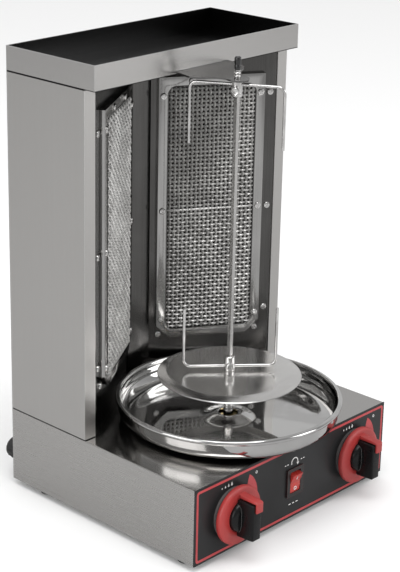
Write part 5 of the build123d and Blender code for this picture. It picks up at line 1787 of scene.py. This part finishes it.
@dataclass
class Studio:
    """The pale floor, the soft lights and the camera."""

    banks: tuple[Bank, ...] = (
        Bank("left_bank", (-2.2, 0.1, 1.0), (1.6, 1.8), 17.0),
        Bank("front_right_bank", (1.4, -2.2, 1.1), (1.0, 1.8), 19.0),
        Bank("top_bank", (-0.4, -0.6, 2.4), (1.6, 1.2), 22.0),
    )
    aim: Spot = (0.0, 0.0, 0.2)
    camera_place: Spot = (-1.15998, -1.06369, 0.80056)
    azimuth: float = -45.53
    elevation: float = 18.40
    roll: float = 0.62
    lens_mm: float = 103.63846153846154
    sensor_mm: float = 36.0
    shift: tuple[float, float] = (0.0872, -0.0972)
    near_side: float = 0.34
    far_side: float = 0.60
    far_way: Spot = (0.70, 0.70, 0.12)
    floor_tone: float = 0.86
    floor_mirrored: float = 0.42

    def floor(self) -> None:
        """Lay the plain pale floor."""
        Bench.clear()
        bpy.ops.mesh.primitive_plane_add(size=14.0, location=(0.0, 0.0, -0.0004))
        floor = bpy.context.object
        floor.name = "studio_floor"
        material, graph, shader = new_material("studio_floor")
        mirrored = graph.node("ShaderNodeLightPath").outputs["Is Glossy Ray"]
        plain, dim = ((*(3 * (tone,)), 1.0) for tone in (self.floor_tone, self.floor_mirrored))
        graph.link(graph.blend(mirrored, plain, dim), shader.inputs["Base Color"])
        shader.inputs["Roughness"].default_value = 0.9
        shader.inputs["Specular IOR Level"].default_value = 0.1
        floor.data.materials.append(material)

    def world(self) -> None:
        """Make the surroundings white to the eye, and banded from grey to light in reflections."""
        world = bpy.data.worlds.new("studio")
        bpy.context.scene.world = world
        world.use_nodes = True
        graph = Graph(world.node_tree)
        background = world.node_tree.nodes["Background"]
        way = graph.node("ShaderNodeTexCoord").outputs["Generated"]
        side = graph.remap(graph.dot(way, self.far_way), 0.15, 0.70, self.near_side, self.far_side)
        above = graph.remap(graph.split(way)["Z"], 0.55, 0.95, 0.02, 0.55)
        reflected = graph.math("MAXIMUM", side, above)
        path = graph.node("ShaderNodeLightPath").outputs
        plain = graph.math("MAXIMUM", path["Is Camera Ray"], path["Is Diffuse Ray"])
        mirrored = graph.math("MULTIPLY", graph.math("SUBTRACT", 1.0, plain), reflected)
        graph.link(graph.math("ADD", plain, mirrored), background.inputs["Strength"])
        background.inputs["Color"].default_value = (1.0, 1.0, 1.0, 1.0)

    def light(self, bank: Bank) -> None:
        """Hang one soft light, turned to the grill.

        Args:
            bank: The light to hang.
        """
        data = bpy.data.lights.new(bank.name, "AREA")
        data.shape = "RECTANGLE"
        data.size, data.size_y = bank.sides
        data.energy = bank.watts
        lamp = bpy.data.objects.new(bank.name, data)
        lamp.location = bank.place
        way = Vector(self.aim) - Vector(bank.place)
        lamp.rotation_euler = way.to_track_quat("-Z", "Y").to_euler()
        bpy.context.scene.collection.objects.link(lamp)

    def camera(self) -> None:
        """Set up the camera at the viewing angle."""
        data = bpy.data.cameras.new("camera")
        data.sensor_fit = "VERTICAL"
        data.sensor_height = self.sensor_mm
        data.lens = self.lens_mm
        data.shift_x, data.shift_y = self.shift
        data.clip_start, data.clip_end = 0.05, 50.0
        camera = bpy.data.objects.new("camera", data)
        turn = Matrix.Rotation(math.radians(self.azimuth), 4, "Z")
        turn @= Matrix.Rotation(math.radians(90.0 - self.elevation), 4, "X")
        turn @= Matrix.Rotation(math.radians(self.roll), 4, "Z")
        camera.matrix_world = Matrix.Translation(self.camera_place) @ turn
        bpy.context.scene.collection.objects.link(camera)
        bpy.context.scene.camera = camera

    def build(self) -> None:
        """Build the studio."""
        self.floor()
        self.world()
        for bank in self.banks:
            self.light(bank)
        self.camera()
        scene = bpy.context.scene
        scene.view_settings.view_transform = "Standard"
        scene.view_settings.look = "None"


def main() -> None:
    """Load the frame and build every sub-assembly."""
    logging.basicConfig(level=logging.INFO, format="%(name)s: %(message)s")
    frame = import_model()
    grill = Grill(frame, Workshop())
    grill.dress_nodes()
    Burner(grill).build()
    Spit(grill).build()
    Fork(grill, "upper", bottom_mm=423.5, arm_mm=435.5, degrees=-61.0, tines_up=False).build()
    Fork(grill, "lower", bottom_mm=138.0, arm_mm=143.0, degrees=-42.0, tines_up=True).build()
    DripPan(grill).build()
    for side in Side:
        Knob(grill, side).build()
    ControlPanel(grill).build()
    Fittings(grill).build()
    Studio().build()
    Bench.clear()
    LOG.info("sizes written")


if __name__ == "__main__":
    main()
